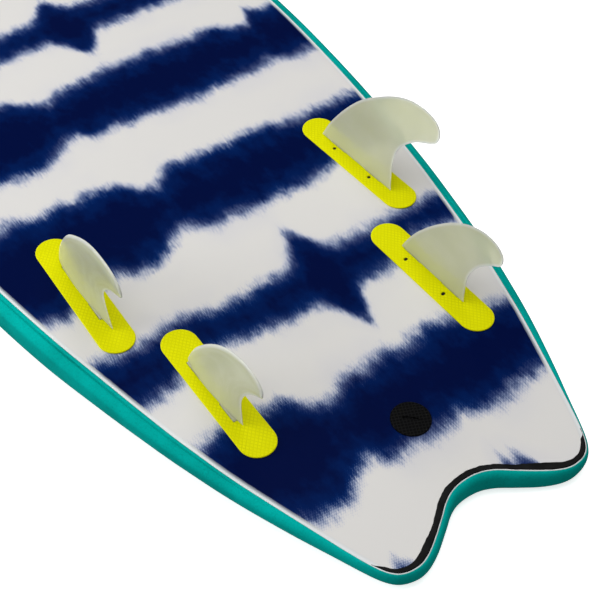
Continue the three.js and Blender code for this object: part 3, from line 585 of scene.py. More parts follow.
def plain_foam_core():
    n = Net("eps_core")
    p = n.mm()
    beads = n.voronoi(p, 0.28)
    edge = n.voronoi(p, 0.28, "DISTANCE_TO_EDGE")
    colour = n.mix(n.range(edge, 0.0, 0.12), srgb(206, 204, 198), n.ramp(beads, [(0.0, srgb(244, 243, 240)), (1.0, srgb(226, 225, 220))]))
    n.set(Base_Color=colour, Roughness=0.85, Normal=n.bump(edge, 0.5, 0.5))
    return n.material


def wood_material():
    n = Net("stringer_wood")
    grain = n.noise(n.mm(1 / 140, 1 / 3, 1 / 5), 1.0, 4.0, 0.6)
    pores = n.noise(n.mm(1 / 16, 1, 1), 1.0, 2.0, 0.6)
    colour = n.ramp(n.range(grain, 0.3, 0.7), [(0.0, srgb(150, 108, 66)), (0.5, srgb(190, 146, 96)), (1.0, srgb(214, 174, 124))])
    colour = n.mix(n.math("MULTIPLY", n.range(pores, 0.55, 0.75), 0.5), colour, srgb(104, 72, 42))
    n.set(Base_Color=colour, Roughness=n.range(grain, 0.3, 0.7, 0.5, 0.7), Normal=n.bump(pores, 0.3, 0.2))
    return n.material


def seal_material():
    n = Net("black_seal")
    p = n.mm()
    grit = n.noise(p, 0.7, 3.0, 0.6)
    slow = n.noise(p, 0.06, 2.0, 0.5)
    n.set(Base_Color=n.ramp(n.range(slow, 0.3, 0.7), [(0.0, srgb(13, 13, 14)), (1.0, srgb(23, 23, 24))]),
          Roughness=n.range(grit, 0.3, 0.7, 0.5, 0.68), Specular_IOR_Level=0.08, Normal=n.bump(grit, 0.35, 0.25))
    return n.material


def plastic_material(name="black_plastic", dark=(10, 10, 11), light=(19, 19, 20)):
    n = Net(name)
    p = n.mm()
    grit = n.noise(p, 1.4, 2.0, 0.5)
    slow = n.noise(p, 0.09, 2.0, 0.5)
    n.set(Base_Color=n.ramp(n.range(slow, 0.3, 0.7), [(0.0, srgb(*dark)), (1.0, srgb(*light))]),
          Roughness=n.range(slow, 0.3, 0.7, 0.42, 0.55), Specular_IOR_Level=0.2, Normal=n.bump(grit, 0.25, 0.08))
    return n.material


def disc_material():
    """Black plastic with an embossed mesh of small squares set diagonally."""
    n = Net("leash_disc")
    x, y, _ = n.xyz(n.mm(rot=0.42))
    a = n.math("PINGPONG", x, 1.7)
    b = n.math("PINGPONG", y, 1.7)
    ridge = n.math("MAXIMUM", n.range(a, 0.95, 1.5), n.range(b, 0.95, 1.5))
    grit = n.noise(n.mm(), 1.2, 2.0, 0.5)
    n.set(Base_Color=n.mix(ridge, srgb(1, 1, 2), srgb(17, 17, 18)), Roughness=n.range(ridge, 0.0, 1.0, 0.62, 0.46),
          Specular_IOR_Level=0.06, Normal=n.bump(n.math("MULTIPLY_ADD", grit, 0.1, ridge), 0.9, 0.45))
    return n.material


def pad_material():
    n = Net("yellow_pad")
    x, y, z = n.xyz(n.mm())
    p1 = n.math("PINGPONG", n.math("MULTIPLY_ADD", y, 1.2, x), 2.9)
    p2 = n.math("PINGPONG", n.math("MULTIPLY_ADD", y, -1.2, x), 2.9)
    groove = n.math("MAXIMUM", n.range(p1, 1.5, 2.8), n.range(p2, 1.5, 2.8))
    flat = n.range(z, PAD_T + PAD_LIFT - 0.25, PAD_T + PAD_LIFT - 0.1)
    groove = n.math("MULTIPLY", groove, flat)
    slow = n.noise(n.mm(), 0.05, 2.0, 0.5)
    grit = n.noise(n.mm(), 1.1, 2.0, 0.5)
    colour = n.ramp(n.range(slow, 0.3, 0.7), [(0.0, YELLOW_A), (1.0, YELLOW_B)])
    # painted shade: on the top face the grid grooves are darkened towards a deeper yellow, shade painted into the
    # recesses; the same grooves also set the height and roughness
    colour = n.mix(n.math("MULTIPLY", groove, n.range(slow, 0.3, 0.7, 0.12, 0.42)), colour, srgb(186, 187, 0))
    height = n.math("MULTIPLY_ADD", grit, 0.08, n.math("MULTIPLY", groove, -1.0))
    n.set(Base_Color=colour, Roughness=n.range(groove, 0.0, 1.0, 0.42, 0.56), Specular_IOR_Level=0.03,
          Subsurface_Weight=0.12, Subsurface_Radius=(0.004, 0.004, 0.001), Subsurface_Scale=1.0,
          Normal=n.bump(height, 0.34, 0.25))
    return n.material


def fin_material():
    n = Net("frosted_fin")
    rim, foot = n.attr("rim"), n.attr("foot")
    slow = n.noise(n.mm(1 / 60, 1, 1 / 40), 1.0, 2.0, 0.5)
    grit = n.noise(n.mm(), 0.9, 3.0, 0.6)
    body = n.ramp(n.range(slow, 0.3, 0.7), [(0.0, FIN_A), (1.0, FIN_B)])
    # painted highlight: within 4 mm of the blade's outline the colour lightens to a near-white, a bright rim painted
    # along the fin's edges
    colour = n.mix(n.range(rim, 4.0, 0.4), body, FIN_RIM_HIGHLIGHT)
    colour = n.mix(n.math("MULTIPLY", n.range(foot, 46.0, 0.0), 0.55), colour, FIN_FOOT)
    n.set(Base_Color=colour, Roughness=n.range(grit, 0.3, 0.7, 0.16, 0.24), Specular_IOR_Level=0.3, IOR=1.25,
          Subsurface_Weight=0.4, Subsurface_Radius=(0.008, 0.008, 0.006), Subsurface_Scale=1.0,
          Transmission_Weight=0.42, Normal=n.bump(grit, 0.05, 0.1))
    return n.material


def steel_material(name, dark, light, rough):
    n = Net(name)
    brush = n.noise(n.mm(1 / 8, 1, 1), 1.0, 3.0, 0.6)
    n.set(Base_Color=n.ramp(n.range(brush, 0.3, 0.7), [(0.0, srgb(*dark)), (1.0, srgb(*light))]), Metallic=1.0,
          Roughness=n.range(brush, 0.3, 0.7, rough - 0.07, rough + 0.07), Normal=n.bump(brush, 0.2, 0.06))
    return n.material


WHITE = srgb(221, 219, 216)
YELLOW_A, YELLOW_B = srgb(222, 222, 0), srgb(230, 230, 2)
FIN_A, FIN_B = srgb(217, 219, 190), srgb(224, 226, 200)
# the first of these two colours is the rim highlight painted on the fins' edges; the second is the paler tone near the
# base
FIN_RIM_HIGHLIGHT, FIN_FOOT = srgb(244, 246, 240), srgb(226, 228, 200)
MATS = dict(slick=slick_material(), teal=foam_material(), eps=plain_foam_core(), wood=wood_material(), seal=seal_material(),
            plastic=plastic_material(), disc=disc_material(), yellow=pad_material(), fin=fin_material(),
            steel=steel_material("steel_pin", (150, 153, 156), (205, 208, 210), 0.3),
            dark=steel_material("dark_steel", (30, 31, 34), (52, 54, 58), 0.42))


def give(obj, key):
    obj.data.materials.clear()
    obj.data.materials.append(MATS[key])


# ---- stations: closer together round the tail and the nose ----
tail_t = np.linspace(0, tip_t, 62)
runs = [(tip_t, tip_t + 60, 3.0), (tip_t + 60, 1150, 6.0), (1150, HALF_LENGTH - 260, 9.0), (HALF_LENGTH - 260, HALF_LENGTH, 5.0)]
side_t = [tip_t]
for a, b, h in runs:
    k = max(2, int(round((b - a) / h)))
    side_t += list(a + (b - a) * np.arange(1, k + 1) / k)
side_t = np.array(side_t)
half_t = np.concatenate([tail_t, side_t[1:]])
ALL = Stations(np.concatenate([half_t, -half_t[1:-1][::-1]]))


def inset(st):
    return 0.5 * curve_at(RAIL, st.s)


# ---- fin and plug frames ----
def bottom_frame(x, y, turn):
    s = x - TAIL_X
    slope = float(bottom_z(s + 2) - bottom_z(s - 2)) / 4
    z = Vector((-slope, 0, 1)).normalized()
    u = Vector((math.cos(turn), math.sin(turn), 0))
    u = (u - z * u.dot(z)).normalized()
    v = z.cross(u)
    m = Matrix((u, v, z)).transposed().to_4x4()
    m.translation = Vector(((x + X_SHIFT) * MM, y * MM, float(bottom_z(s)) * MM))
    return m


def deck_frame(x):
    at = lambda q: float(bottom_z(to_s(q)) - deck_depth(to_s(q), 0))
    slope = (at(x + 20) - at(x - 20)) / 40
    z, u = Vector((-slope, 0, 1)).normalized(), Vector((1, 0, slope)).normalized()
    m = Matrix((u, Vector((0, 1, 0)), z)).transposed().to_4x4()
    m.translation = Vector(((x + X_SHIFT) * MM, 0, at(x) * MM))
    return m


def blade_matrix(f):
    m = Matrix.Rotation(-f["side"] * f["cant"] * RAD, 4, "X")
    m.translation = Vector((0, -f["side"] * f["v"], FIN_N)) * MM
    return f["frame"] @ m


def screw_matrix(f, u):
    m = Matrix.Rotation(f["side"] * f["tilt"] * RAD, 4, "X")
    m.translation = Vector((u, -f["side"] * SCREW_V, PAD_LIFT + PAD_T)) * MM
    return f["frame"] @ m


for f in FINS:
    f["frame"] = bottom_frame(f["x"], f["side"] * f["y"], -f["side"] * f["toe"] * RAD)
leash_frame = bottom_frame(LEASH_X, 0, 0)
cup_frame = deck_frame(LEASH_X + 3)
leash_depth = float(deck_depth(to_s(LEASH_X), 0))


# ---- bottom sheet ----
def band(x, y, tables, shift=0.0):
    rear, front = (np.array(t, float) for t in tables)
    xr = np.interp(y, rear[:, 0], rear[:, 1]) + shift
    xf = np.interp(y, front[:, 0], front[:, 1]) + shift
    return np.minimum(x - xr, xf - x)


def dye_field(x, y):
    """Signed distance along the board into the nearest dye band, in mm."""
    d = [band(x, y, t) for t in (BAND_E, BAND_D, BAND_C, BAND_B, BAND_A, HINTS)]
    for k in (1, 2):
        flip = -1 if k == 1 else 1
        for t in (BAND_C, BAND_B, BAND_A):
            d.append(band(x, flip * y + 13 * k, t, PERIOD * k))
    return np.clip(np.max(d, axis=0), -60, 60)


def seam_lean(s):
    """How far the edge of the sheet stands over to the right, in mm."""
    return 1.4 * smooth((np.asarray(s, float) - 150) / 220)


def sheet():
    inner = ALL.at(-BEVEL_W)
    fr = np.concatenate([np.linspace(1, 0.03, 42), [0.0]])
    rings = []
    for f in fr:
        x = inner[0] + f * (ALL.fx - inner[0])
        y = inner[1] * (1 - f)
        rings.append(to_world(x, y, bottom_z(to_s(x))))
    for d in (4.4, 3.2, 2.0, 1.1, 0.6):
        x, y = ALL.at(-d)
        rings.append(to_world(x, y, skin_top(x, d)))
    x, y = ALL.at(-0.25)
    rings.append(to_world(x, y, skin_top(x, 0.25) - 0.06))
    x, y = ALL.x, ALL.y
    for drop in (0.32, SKIN):
        rings.append(to_world(x, y, skin_top(x, 0) - drop))
    for f in (0.0, 0.35, 0.7, 1.0):
        x = inner[0] + f * (ALL.fx - inner[0])
        y = inner[1] * (1 - f)
        rings.append(to_world(x, y, bottom_z(to_s(x)) - SKIN))
    verts, faces = rings_mesh(rings)
    s, y = to_s(verts[:, 0] / MM - X_SHIFT), verts[:, 1] / MM
    verts[:, 1] -= seam_lean(s) * smooth(1 - edge_distance(verts[:, 0] / MM - X_SHIFT, y) / 36) * MM
    obj = make_object("bottom_sheet", verts, faces, sharp=50)
    parts = []
    for f in FINS:
        for u in PLUG_U:
            parts.append(moved(box_mesh(u - PLUG_L / 2 - 0.5, u + PLUG_L / 2 + 0.5, -PLUG_W / 2 - 0.5, PLUG_W / 2 + 0.5, -6, 6), f["frame"]))
    parts.append(moved(lathe_mesh([[0, -8], [STEM_R + 0.5, -8], [STEM_R + 0.5, 8], [0, 8]], 48), leash_frame))
    cutter = make_object("cutter", *merge(parts))
    boolean(obj, cutter)
    co = vertex_array(obj) / MM
    x, y = co[:, 0] - X_SHIFT, co[:, 1]
    y = y + seam_lean(to_s(x)) * smooth(1 - edge_distance(x, y) / 36)
    attribute(obj, "dye", dye_field(x, y))
    attribute(obj, "inside", np.minimum(edge_distance(x, y), 40))
    shade(obj, 50)
    give(obj, "slick")
    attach(obj, "board")
    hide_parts("bottom_skin")
    return obj


# ---- deck foam ----
def deck():
    edge = ALL.at(-inset(ALL) - GAP)
    rings = []
    for lift, fr in ((FOAM, (1.0, 0.72, 0.45, 0.2, 0.0)), (0.0, np.concatenate([[0.0, 0.012], np.linspace(0.03, 1.0, 34)]))):
        for f in fr:
            x = edge[0] + f * (ALL.fx - edge[0])
            y = edge[1] * (1 - f)
            z = bottom_z(to_s(x)) - deck_depth(to_s(x), y) + lift
            if lift == 0 and f == 0:
                z = z + 0.5
            rings.append(to_world(x, y, z))
    verts, faces = rings_mesh(rings)
    obj = make_object("deck_foam", verts, faces, sharp=50)
    cut = [moved(lathe_mesh([[0, -8], [CUP_R + 0.5, -8], [CUP_R + 0.5, 12], [0, 12]], 72), cup_frame)]
    cutter = make_object("cutter", *merge(cut))
    boolean(obj, cutter)
    cut = [moved(lathe_mesh([[0, -8], [CUP_R + 4.5, -8], [CUP_R + 4.5, 1.9], [0, 1.9]], 72), cup_frame)]
    cutter = make_object("cutter", *merge(cut))
    boolean(obj, cutter)
    shade(obj, 50)
    give(obj, "teal")
    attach(obj, "board")
    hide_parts("deck_skin")
    return obj


# ---- rails ----
CREASE = 16.5


def rail_sections(st):
    s, w, m = st.s, notch(st.t), inset(st)
    b = curve_at(BULGE, s) + NOTCH_BULGE * w
    square = smooth((s - 200) / 260)
    pc, ps = 0.9 - 0.26 * square - 0.45 * w, 1 - 0.22 * square - 0.4 * w
    ex, ey = st.at(-m)
    drop = BEVEL_H * bevel_factor(s)
    H = deck_depth(to_s(ex), ey) - drop + bottom_z(s) - bottom_z(to_s(ex))
    ha = np.minimum(8, 0.3 * H)
    base = bottom_z(s) - drop
    pts = []

    def add(n, z):
        x, y = st.at(n)
        slope = np.where(n > 0, bottom_z(to_s(x)) - bottom_z(s), 0)
        pts.append(to_world(x, y, base + z + slope * np.clip(1 + z / H, 0, 1)))

    groove = 1.8 * smooth((st.x + 170) / 160) * (0.8 + 0.2 * np.sin(st.t / 37.0))
    for a in (0, 4, 7, 9.5, 11.5, 13.5, 15, 16.5, 18, 19.5, 21.5, 24, 28, 33, 39, 46, 55, 64, 73, 82, 90):
        g = groove * math.exp(-((a - CREASE) / 3.4) ** 2)
        lift = 0.3 * groove * math.exp(-((a - CREASE - 9) / 6.0) ** 2)
        add(GAP + (b - GAP) * math.sin(a * RAD) + (lift - g) * math.sin(a * RAD),
            -ha * (1 - math.cos(a * RAD)) + (lift - g) * math.cos(a * RAD))
        pts[-1][:, 1] -= seam_lean(s) * (1 - math.sin(a * RAD)) * MM
    for a in (3, 8, 14, 21, 28, 36, 44, 52, 60, 68, 75, 81, 86):
        add(-m + (b + m) * math.cos(a * RAD) ** pc, -(ha + (H - ha) * math.sin(a * RAD) ** ps))
    add(-m + 0.35, -H + 0.01)
    add(-m, -H + 0.5)
    for a in (90, 52, 14):
        n = -m + (b + m - FOAM) * math.cos(a * RAD) if a != 90 else -m
        add(n, -(ha + (H - ha - FOAM) * math.sin(a * RAD)))
    x, y = st.at(-TUCK)
    pts.append(to_world(x, y, skin_top(x, TUCK) - SKIN - 2.4 * GAP))
    x, y = st.at(GAP)
    pts.append(to_world(x, y, base - SKIN - 2.4 * GAP))
    return np.stack(pts, axis=1)


def rails():
    made = []
    for name, sign in (("rail_left", 1), ("rail_right", -1)):
        t = side_t.copy()
        t[-1] -= 0.02
        made.append((name, Stations(sign * t)))
    t = tail_t.copy()
    made.append(("tail_rail", Stations(np.concatenate([-t[1:][::-1], t]))))
    for node, st in made:
        verts, faces = swept(rail_sections(st))
        obj = make_object(node + "_foam", verts, faces, sharp=50)
        give(obj, "teal")
        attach(obj, "board")
        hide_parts(node)


# ---- dark sealing strip round the tail ----
SEAL_INNER = [[-231.0, 131.5], [-234.0, 128.4], [-237.5, 124.6], [-246.4, 119.6], [-250.9, 115.4], [-253.6, 110.2], [-254.7, 103.5],
              [-253.9, 97.4], [-251.4, 87], [-246.5, 75.4], [-240.8, 66.2], [-232.3, 55], [-224.4, 45.0], [-213.9, 29.5],
              [-208.9, 13], [-207.9, -6.5], [-212.2, -24.2], [-221.5, -39.5], [-236.4, -58.8], [-247.6, -80.6],
              [-253.9, -95.6], [-254.9, -104.4], [-252.4, -112.0], [-247.2, -118.4], [-242.6, -122.2], [-239.2, -127.8]]


def tail_seal():
    inner = np.array(SEAL_INNER, float)[::-1]
    # an even, rounded version of the inner edge
    k = np.linspace(0, len(inner) - 1, 900)
    line = np.stack([np.interp(k, np.arange(len(inner)), inner[:, i]) for i in (0, 1)], axis=1)
    for _ in range(60):
        line[1:-1] = 0.25 * line[:-2] + 0.5 * line[1:-1] + 0.25 * line[2:]
    t = np.linspace(-tip_t - 17.5, tip_t + 15.5, 260)
    st = Stations(t)
    out_n = 0.95 + 0.1 * np.sin(t / 3.7) * np.sin(t / 11.0) + 0.06 * np.sin(t / 1.9)
    ox, oy = st.at(-out_n)
    dist = np.hypot(st.x[:, None] - line[None, :, 0], st.y[:, None] - line[None, :, 1])
    near = dist.argmin(1)
    width = dist.min(1) + 0.2 * np.sin(t / 3.3 + 1.0) * np.sin(t / 9.1) + 0.1 * np.sin(t / 1.3)
    ends = smooth((t[-1] - np.abs(t - (t[0] + t[-1]) / 2) - (t[-1] + t[0]) / 2) / 16.0)
    width = out_n + np.maximum(width - out_n, 0.6) * (0.1 + 0.9 * ends)
    ix, iy = st.at(-width)
    h = 0.85 * (0.35 + 0.65 * ends)
    rows = []
    for f, rise in ((0, 0.12), (0.03, 0.55), (0.12, 0.86), (0.3, 1.0), (0.55, 1.02), (0.78, 0.9), (0.93, 0.6), (1, 0.12)):
        x, y = ox + f * (ix - ox), oy + f * (iy - oy)
        rows.append(to_world(x, y, skin_top(x, np.maximum(out_n, 1)) + 0.02 + h * rise))
    rows.append(to_world(ix, iy, skin_top(ix, width) - 0.1))
    rows.append(to_world(ox, oy, skin_top(ox, out_n) - 0.1))
    verts, faces = swept(np.stack(rows, axis=1))
    obj = make_object("tail_seal_strip", verts, faces, sharp=60)
    give(obj, "seal")
    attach(obj, "board")
    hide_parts("tail_seal")


# ---- fin plates ----
def pads():
    for f in FINS:
        h, r = PAD_L / 2 - PAD_W / 2, PAD_W / 2
        ang = np.linspace(-math.pi / 2, math.pi / 2, 40)
        rim = [(h + math.cos(a), math.sin(a), 1) for a in ang] + [(-h - math.cos(a), -math.sin(a), -1) for a in ang]

        def ring(back, z):
            q = r - back
            return np.array([[(h + q * math.cos(a)) * MM, q * math.sin(a) * MM, z * MM] for a in ang]
                            + [[(-h - q * math.cos(a)) * MM, -q * math.sin(a) * MM, z * MM] for a in ang])

        top = PAD_LIFT + PAD_T
        profile = [(0.35, PAD_LIFT), (0.1, PAD_LIFT + 0.18), (0, PAD_LIFT + 0.45)]
        profile += [(0.95 * (1 - math.cos(a * RAD)), top - 0.95 * (1 - math.sin(a * RAD))) for a in (12, 28, 44, 60, 75, 90)]
        rings = [ring(b, z) for b, z in profile]
        verts, faces = rings_mesh(rings)
        n = len(rings[0])
        faces = [list(x) for x in faces] + [list(range(n))[::-1], list(range((len(rings) - 1) * n, len(rings) * n))]
        obj = make_object(f"fin_plate_{f['key']}", verts, faces, sharp=44)
        cuts = []
        side = f["side"]
        inv = f["frame"].inverted()
        bm = inv @ blade_matrix(f)
        for u in PLUG_U:
            y0, y1 = (0.35 - 0.5, 0.35 + TAB_T + 0.5) if side > 0 else (-0.35 - TAB_T - 0.5, -0.35 + 0.5)
            cuts.append(moved(box_mesh(u - TAB_L / 2 - 0.5, u + TAB_L / 2 + 0.5, y0, y1, -8, 8, 0.6, 2), bm))
        for u in PLUG_U:
            r1 = SCREW_R + 0.35
            cuts.append(moved(lathe_mesh([[0, -8], [r1, -8], [r1, 8], [0, 8]], 32), inv @ screw_matrix(f, u)))
        for c in cuts:
            cutter = make_object("cutter", *c)
            boolean(obj, cutter)
        obj.matrix_world = f["frame"]
        shade(obj, 44)
        give(obj, "yellow")
        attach(obj, "board")
        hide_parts("fin_pad_" + f["key"])


# ---- fins ----
def spline_at(points, u):
    """Centripetal curve through the points, read at fractions u of its length."""
    p = np.array(points, float)
    q = np.concatenate([[2 * p[0] - p[1]], p, [2 * p[-1] - p[-2]]])
    out = []
    w = np.linspace(0, 1, 24, endpoint=False)[:, None]
    for i in range(1, len(q) - 2):
        p0, p1, p2, p3 = q[i - 1], q[i], q[i + 1], q[i + 2]
        d0, d1, d2 = (max(np.linalg.norm(b - a) ** 0.5, 1e-6) for a, b in ((p0, p1), (p1, p2), (p2, p3)))
        t1 = ((p1 - p0) / d0 - (p2 - p0) / (d0 + d1) + (p2 - p1) / d1) * d1
        t2 = ((p2 - p1) / d1 - (p3 - p1) / (d1 + d2) + (p3 - p2) / d2) * d1
        out.append(p1 + t1 * w + (-3 * p1 + 3 * p2 - 2 * t1 - t2) * w ** 2 + (2 * p1 - 2 * p2 + t1 + t2) * w ** 3)
    out = np.concatenate(out + [p[-1:]])
    length = np.concatenate([[0], np.cumsum(np.linalg.norm(np.diff(out, axis=0), axis=1))])
    return np.stack([np.interp(u * length[-1], length, out[:, i]) for i in (0, 1)], axis=1)


def fins():
    for f in FINS:
        e = EDGES[f["kind"]]
        side = f["side"]
        rows = 1 - (1 - np.linspace(0, 1, 66)) ** 1.25
        lead, trail = spline_at(e["lead"], rows), spline_at(e["trail"], rows)
        tmax = 6.4 if f["kind"] == "front" else 6.0
        chord = 0.5 - 0.5 * np.cos(np.linspace(0, math.pi, 26))
        foil = np.where(chord < 0.36, np.sqrt(np.clip(1 - ((0.36 - chord) / 0.36) ** 2, 0, 1)),
                        1 - (np.clip(chord - 0.36, 0, 1) / 0.64) ** 1.9)
        sections = []
        for j, p in enumerate(rows):
            thick = tmax * (1 - 0.62 * p ** 1.3)
            thick *= 0.16 + 0.84 * math.sqrt(max(0.0, 1 - max(0.0, (p - 0.86) / 0.14) ** 2))
            edge = 0.75 * (1 if p < 0.97 else 0.7)
            line = lead[j][None, :] + chord[:, None] * (trail[j] - lead[j])[None, :]
            away = (trail[j] - lead[j]) / max(np.linalg.norm(trail[j] - lead[j]), 1e-6)
            pull = min(0.28, 0.2 * np.linalg.norm(trail[j] - lead[j]))
            inner = [(q[0], 0.0, q[1]) for q in line[1:-1]]
            first = lead[j] + away * pull
            last = trail[j] - away * pull
            inner = [(first[0], 0.0, first[1])] + inner[0:] + [(last[0], 0.0, last[1])]
            outer = [(q[0], side * (edge * 0.62 + (thick - edge * 0.62) * w), q[1]) for q, w in zip(line, foil)]
            outer[0] = (lead[j][0], side * edge * 0.4, lead[j][1])
            outer[-1] = (trail[j][0], side * edge * 0.4, trail[j][1])
            sections.append(inner + outer[::-1])
        verts, faces = swept(np.array(sections) * MM)
        tabs = []
        for u in PLUG_U:
            y0, y1 = (0.35, 0.35 + TAB_T) if side > 0 else (-0.35 - TAB_T, -0.35)
            tabs.append(box_mesh(u - TAB_L / 2, u + TAB_L / 2, y0, y1, -TAB_D, 0.35, 0.9, 3))
        blade = make_object(f"fin_blade_{f['key']}", verts, faces, sharp=48)
        for t in tabs:
            tab = make_object("tab", *t)
            boolean(blade, tab, "UNION")
        co = vertex_array(blade) / MM
        outline = np.concatenate([spline_at(e["lead"], np.linspace(0, 1, 160)), spline_at(e["trail"], np.linspace(1, 0, 120))])
        a, b = outline[:-1], outline[1:]
        d, l = b - a, ((b - a) ** 2).sum(1) + 1e-9
        px, pz = co[:, 0:1], co[:, 2:3]
        u = np.clip(((px - a[:, 0]) * d[:, 0] + (pz - a[:, 1]) * d[:, 1]) / l, 0, 1)
        rim = np.sqrt(((a[:, 0] + u * d[:, 0] - px) ** 2 + (a[:, 1] + u * d[:, 1] - pz) ** 2).min(1))
        attribute(blade, "rim", np.minimum(rim, 40))
        attribute(blade, "foot", np.maximum(co[:, 2], 0))
        blade.matrix_world = blade_matrix(f)
        shade(blade, 48)
        give(blade, "fin")
        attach(blade, "fin_" + f["key"])
        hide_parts("fin_" + f["key"])


# ---- leash plug ----
def leash():
    lift = 0.15
    r = DISC_R
    profile = [[0, lift], [r - 0.6, lift], [r - 0.15, lift + 0.15], [r, lift + 0.5], [r, lift + 0.95], [r - 0.12, lift + 1.25],
               [r - 0.45, lift + 1.5], [r - 1.0, lift + 1.66], [r - 2.0, lift + 1.72], [r - 2.4, lift + 1.76], [r * 0.6, lift + 1.98],
               [r * 0.3, lift + 2.14], [0, lift + DISC_H]]
    obj = make_object("leash_disc", *lathe_mesh(profile, 128), sharp=44)
    stem_end = -leash_depth + CUP_DEPTH + 1.6
    stem = make_object("stem", *lathe_mesh([[0, stem_end], [STEM_R - 0.6, stem_end], [STEM_R, stem_end + 0.6], [STEM_R, lift + 0.4], [0, lift + 0.4]], 64))
    boolean(obj, stem, "UNION")
    pts = []
    for i in range(25):
        a = i / 24
        pts.append((-10.5 + 21 * a, 1.7 * math.sin(math.pi * a) ** 0.8))
    for i in range(1, 24):
        a = 1 - i / 24
        pts.append((-10.5 + 21 * a, -1.7 * math.sin(math.pi * a) ** 0.8))
    c, s = math.cos(0.83), math.sin(0.83)
    ring = [(c * x - s * y, s * x + c * y) for x, y in pts]
    n = len(ring)
    vs = [(x * MM, y * MM, (lift + DISC_H - 1.35) * MM) for x, y in ring] + [(x * MM, y * MM, 6 * MM) for x, y in ring]
    fs = [list(range(n))[::-1], list(range(n, 2 * n))] + [[i, (i + 1) % n, n + (i + 1) % n, n + i] for i in range(n)]
    cutter = make_object("cutter", vs, fs)
    boolean(obj, cutter)
    obj.matrix_world = leash_frame
    shade(obj, 40)
    give(obj, "disc")
    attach(obj, "board")
    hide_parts("leash_plug_base")

    z0, zf, z1 = -0.3, 1.5, CUP_DEPTH
    ri, zi = CUP_R - 2.2, CUP_DEPTH - 2
    profile = [[0, z1], [CUP_R - 1.2, z1], [CUP_R - 0.35, z1 - 0.35], [CUP_R, z1 - 1.2], [CUP_R, zf + 0.4], [CUP_R + 0.3, zf],
               [CUP_R + 3.7, zf], [CUP_R + 4, zf - 0.3], [CUP_R + 4, z0 + 0.7], [CUP_R + 3.75, z0 + 0.22], [CUP_R + 3.2, z0],
               [ri + 0.9, z0], [ri + 0.25, z0 + 0.25], [ri, z0 + 0.9], [ri, zi - 1.6], [ri - 0.5, zi - 0.5], [ri - 1.6, zi], [0, zi]]
    cup = make_object("leash_cup", *lathe_mesh(profile, 96), sharp=40)
    turn = Matrix.Rotation(math.pi / 2, 4, "X")
    turn.translation = Vector((0, 0, 3.9 * MM))
    bore = make_object("cutter", *moved(lathe_mesh([[0, -CUP_R + 0.8], [1.8, -CUP_R + 0.8], [1.8, CUP_R - 0.8], [0, CUP_R - 0.8]], 32), turn))
    boolean(cup, bore)
    cup.matrix_world = cup_frame
    shade(cup, 40)
    give(cup, "plastic")
    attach(cup, "board")
    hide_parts("leash_plug_cup")
    e = CUP_R - 1.1
    pin = make_object("leash_pin", *lathe_mesh([[0, -e], [1.1, -e], [1.5, -e + 0.4], [1.5, e - 0.4], [1.1, e], [0, e]], 40))
    pin.matrix_world = cup_frame @ turn
    shade(pin, 40)
    give(pin, "steel")
    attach(pin, "board")
    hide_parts("leash_plug_pin")


# ---- grub screws: threaded body with a hexagonal socket ----
def screws():
    for f in FINS:
        for u, end in zip(PLUG_U, ("fore", "aft")):
            top, r = -1.2, SCREW_R
            foot = top - SCREW_L
            profile = [[0, foot], [r - 0.55, foot], [r - 0.2, foot + 0.45]]
            z = foot + 0.6
            while z < top - 0.75:
                profile += [[r, z], [r, z + 0.12], [r - 0.22, z + 0.36]]
                z += 0.5
            profile += [[r, top - 0.35], [r - 0.3, top - 0.03], [1.05, top], [0, top]]
            obj = make_object(f"clamp_screw_{f['key']}_{end}", *lathe_mesh(profile, 28), sharp=30)
            hexa = make_object("cutter", *lathe_mesh([[0, top - 2.3], [0.9, top - 2.3], [0.9, top + 1], [0, top + 1]], 6))
            boolean(obj, hexa)
            obj.matrix_world = screw_matrix(f, u)
            shade(obj, 30)
            give(obj, "dark")
            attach(obj, f"grub_screw_{f['key']}_{end}")
            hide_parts(f"grub_screw_{f['key']}_{end}")


# ---- camera, floor and light ----
RIGHT, DOWN, AHEAD = (-0.588344, -0.808285, -0.022949), (-0.554417, 0.423889, -0.716198), (0.58862, -0.408648, -0.697519)
cam_data = bpy.data.cameras.new("camera")
cam_data.sensor_width, cam_data.lens = 36.0, 36.0 * 1337.413 / 600
cam_data.clip_start, cam_data.clip_end = 0.05, 60.0
cam = bpy.data.objects.new("camera", cam_data)
basis = Matrix((Vector(RIGHT), -Vector(DOWN), -Vector(AHEAD))).transposed().to_4x4()
basis.translation = Vector((-770.55 + X_SHIFT, 569.327, 1032.079 + BOTTOM_Z - 105.6)) * MM
cam.matrix_world = basis
bpy.context.scene.collection.objects.link(cam)
bpy.context.scene.camera = cam
bpy.context.scene.view_settings.view_transform = "Standard"
bpy.context.scene.view_settings.look = "None"


def area_light(name, where, target, size, power, colour=(1, 1, 1), size_y=None):
    data = bpy.data.lights.new(name, "AREA")
    data.energy, data.color = power, colour
    data.shape, data.size, data.size_y = "RECTANGLE", size, size_y or size
    obj = bpy.data.objects.new(name, data)
    obj.location = Vector(where)
    obj.rotation_euler = (Vector(target) - Vector(where)).to_track_quat("-Z", "Y").to_euler()
    bpy.context.scene.collection.objects.link(obj)


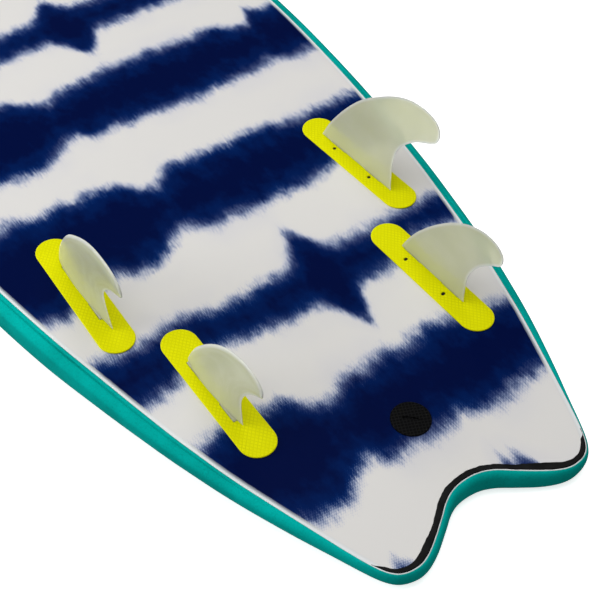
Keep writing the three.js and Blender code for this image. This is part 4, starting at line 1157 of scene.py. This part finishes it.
def stage():
    n = Net("floor")
    cloud = n.noise(n.mm(), 0.002, 2.0, 0.5)
    n.set(Base_Color=n.ramp(n.range(cloud, 0.3, 0.7), [(0.0, (0.93, 0.93, 0.93, 1)), (1.0, (0.95, 0.95, 0.95, 1))]),
          Roughness=0.9, Specular_IOR_Level=0.1, Emission_Color=(1, 1, 1, 1), Emission_Strength=0.7)
    verts = [(-40, -40, -0.0006), (40, -40, -0.0006), (40, 40, -0.0006), (-40, 40, -0.0006)]
    mesh = bpy.data.meshes.new("floor")
    mesh.from_pydata(verts, [], [(0, 1, 2, 3)])
    floor = bpy.data.objects.new("floor", mesh)
    bpy.context.scene.collection.objects.link(floor)
    mesh.materials.append(n.material)
    floor.visible_diffuse = False
    floor.visible_glossy = False
    world = bpy.data.worlds.new("studio")
    world.use_nodes = True
    bg = world.node_tree.nodes["Background"]
    bg.inputs["Color"].default_value = (1.0, 1.0, 1.0, 1)
    bg.inputs["Strength"].default_value = 0.27
    bpy.context.scene.world = world
    area_light("key", (0.9, 2.3, 0.8), (-0.2, 0.1, 0.0), 1.9, 52)
    area_light("top", (-0.3, 0.2, 3.2), (-0.3, 0, 0), 3.2, 76)


sheet()
deck()
rails()
tail_seal()
pads()
fins()
leash()
screws()
for name, node in nodes.items():
    key = ("eps" if name.startswith("core") else "wood" if name.startswith("stringer") else "plastic" if "plug" in name else None)
    if key:
        give(node, key)
    elif name == "leash_plug_pin":
        give(node, "steel")
for name in ("tail_seal",):
    give(nodes[name], "seal")
for name in ("bottom_skin",):
    give(nodes[name], "slick")
for name in ("deck_skin", "rail_left", "rail_right", "tail_rail"):
    give(nodes[name], "teal")
for f in FINS:
    give(nodes["fin_pad_" + f["key"]], "yellow")
    give(nodes["fin_" + f["key"]], "fin")
    for end in ("fore", "aft"):
        give(nodes[f"grub_screw_{f['key']}_{end}"], "dark")
stage()
for extra in [m for m in bpy.data.meshes if m.users == 0]:
    bpy.data.meshes.remove(extra)
bpy.context.view_layer.update()
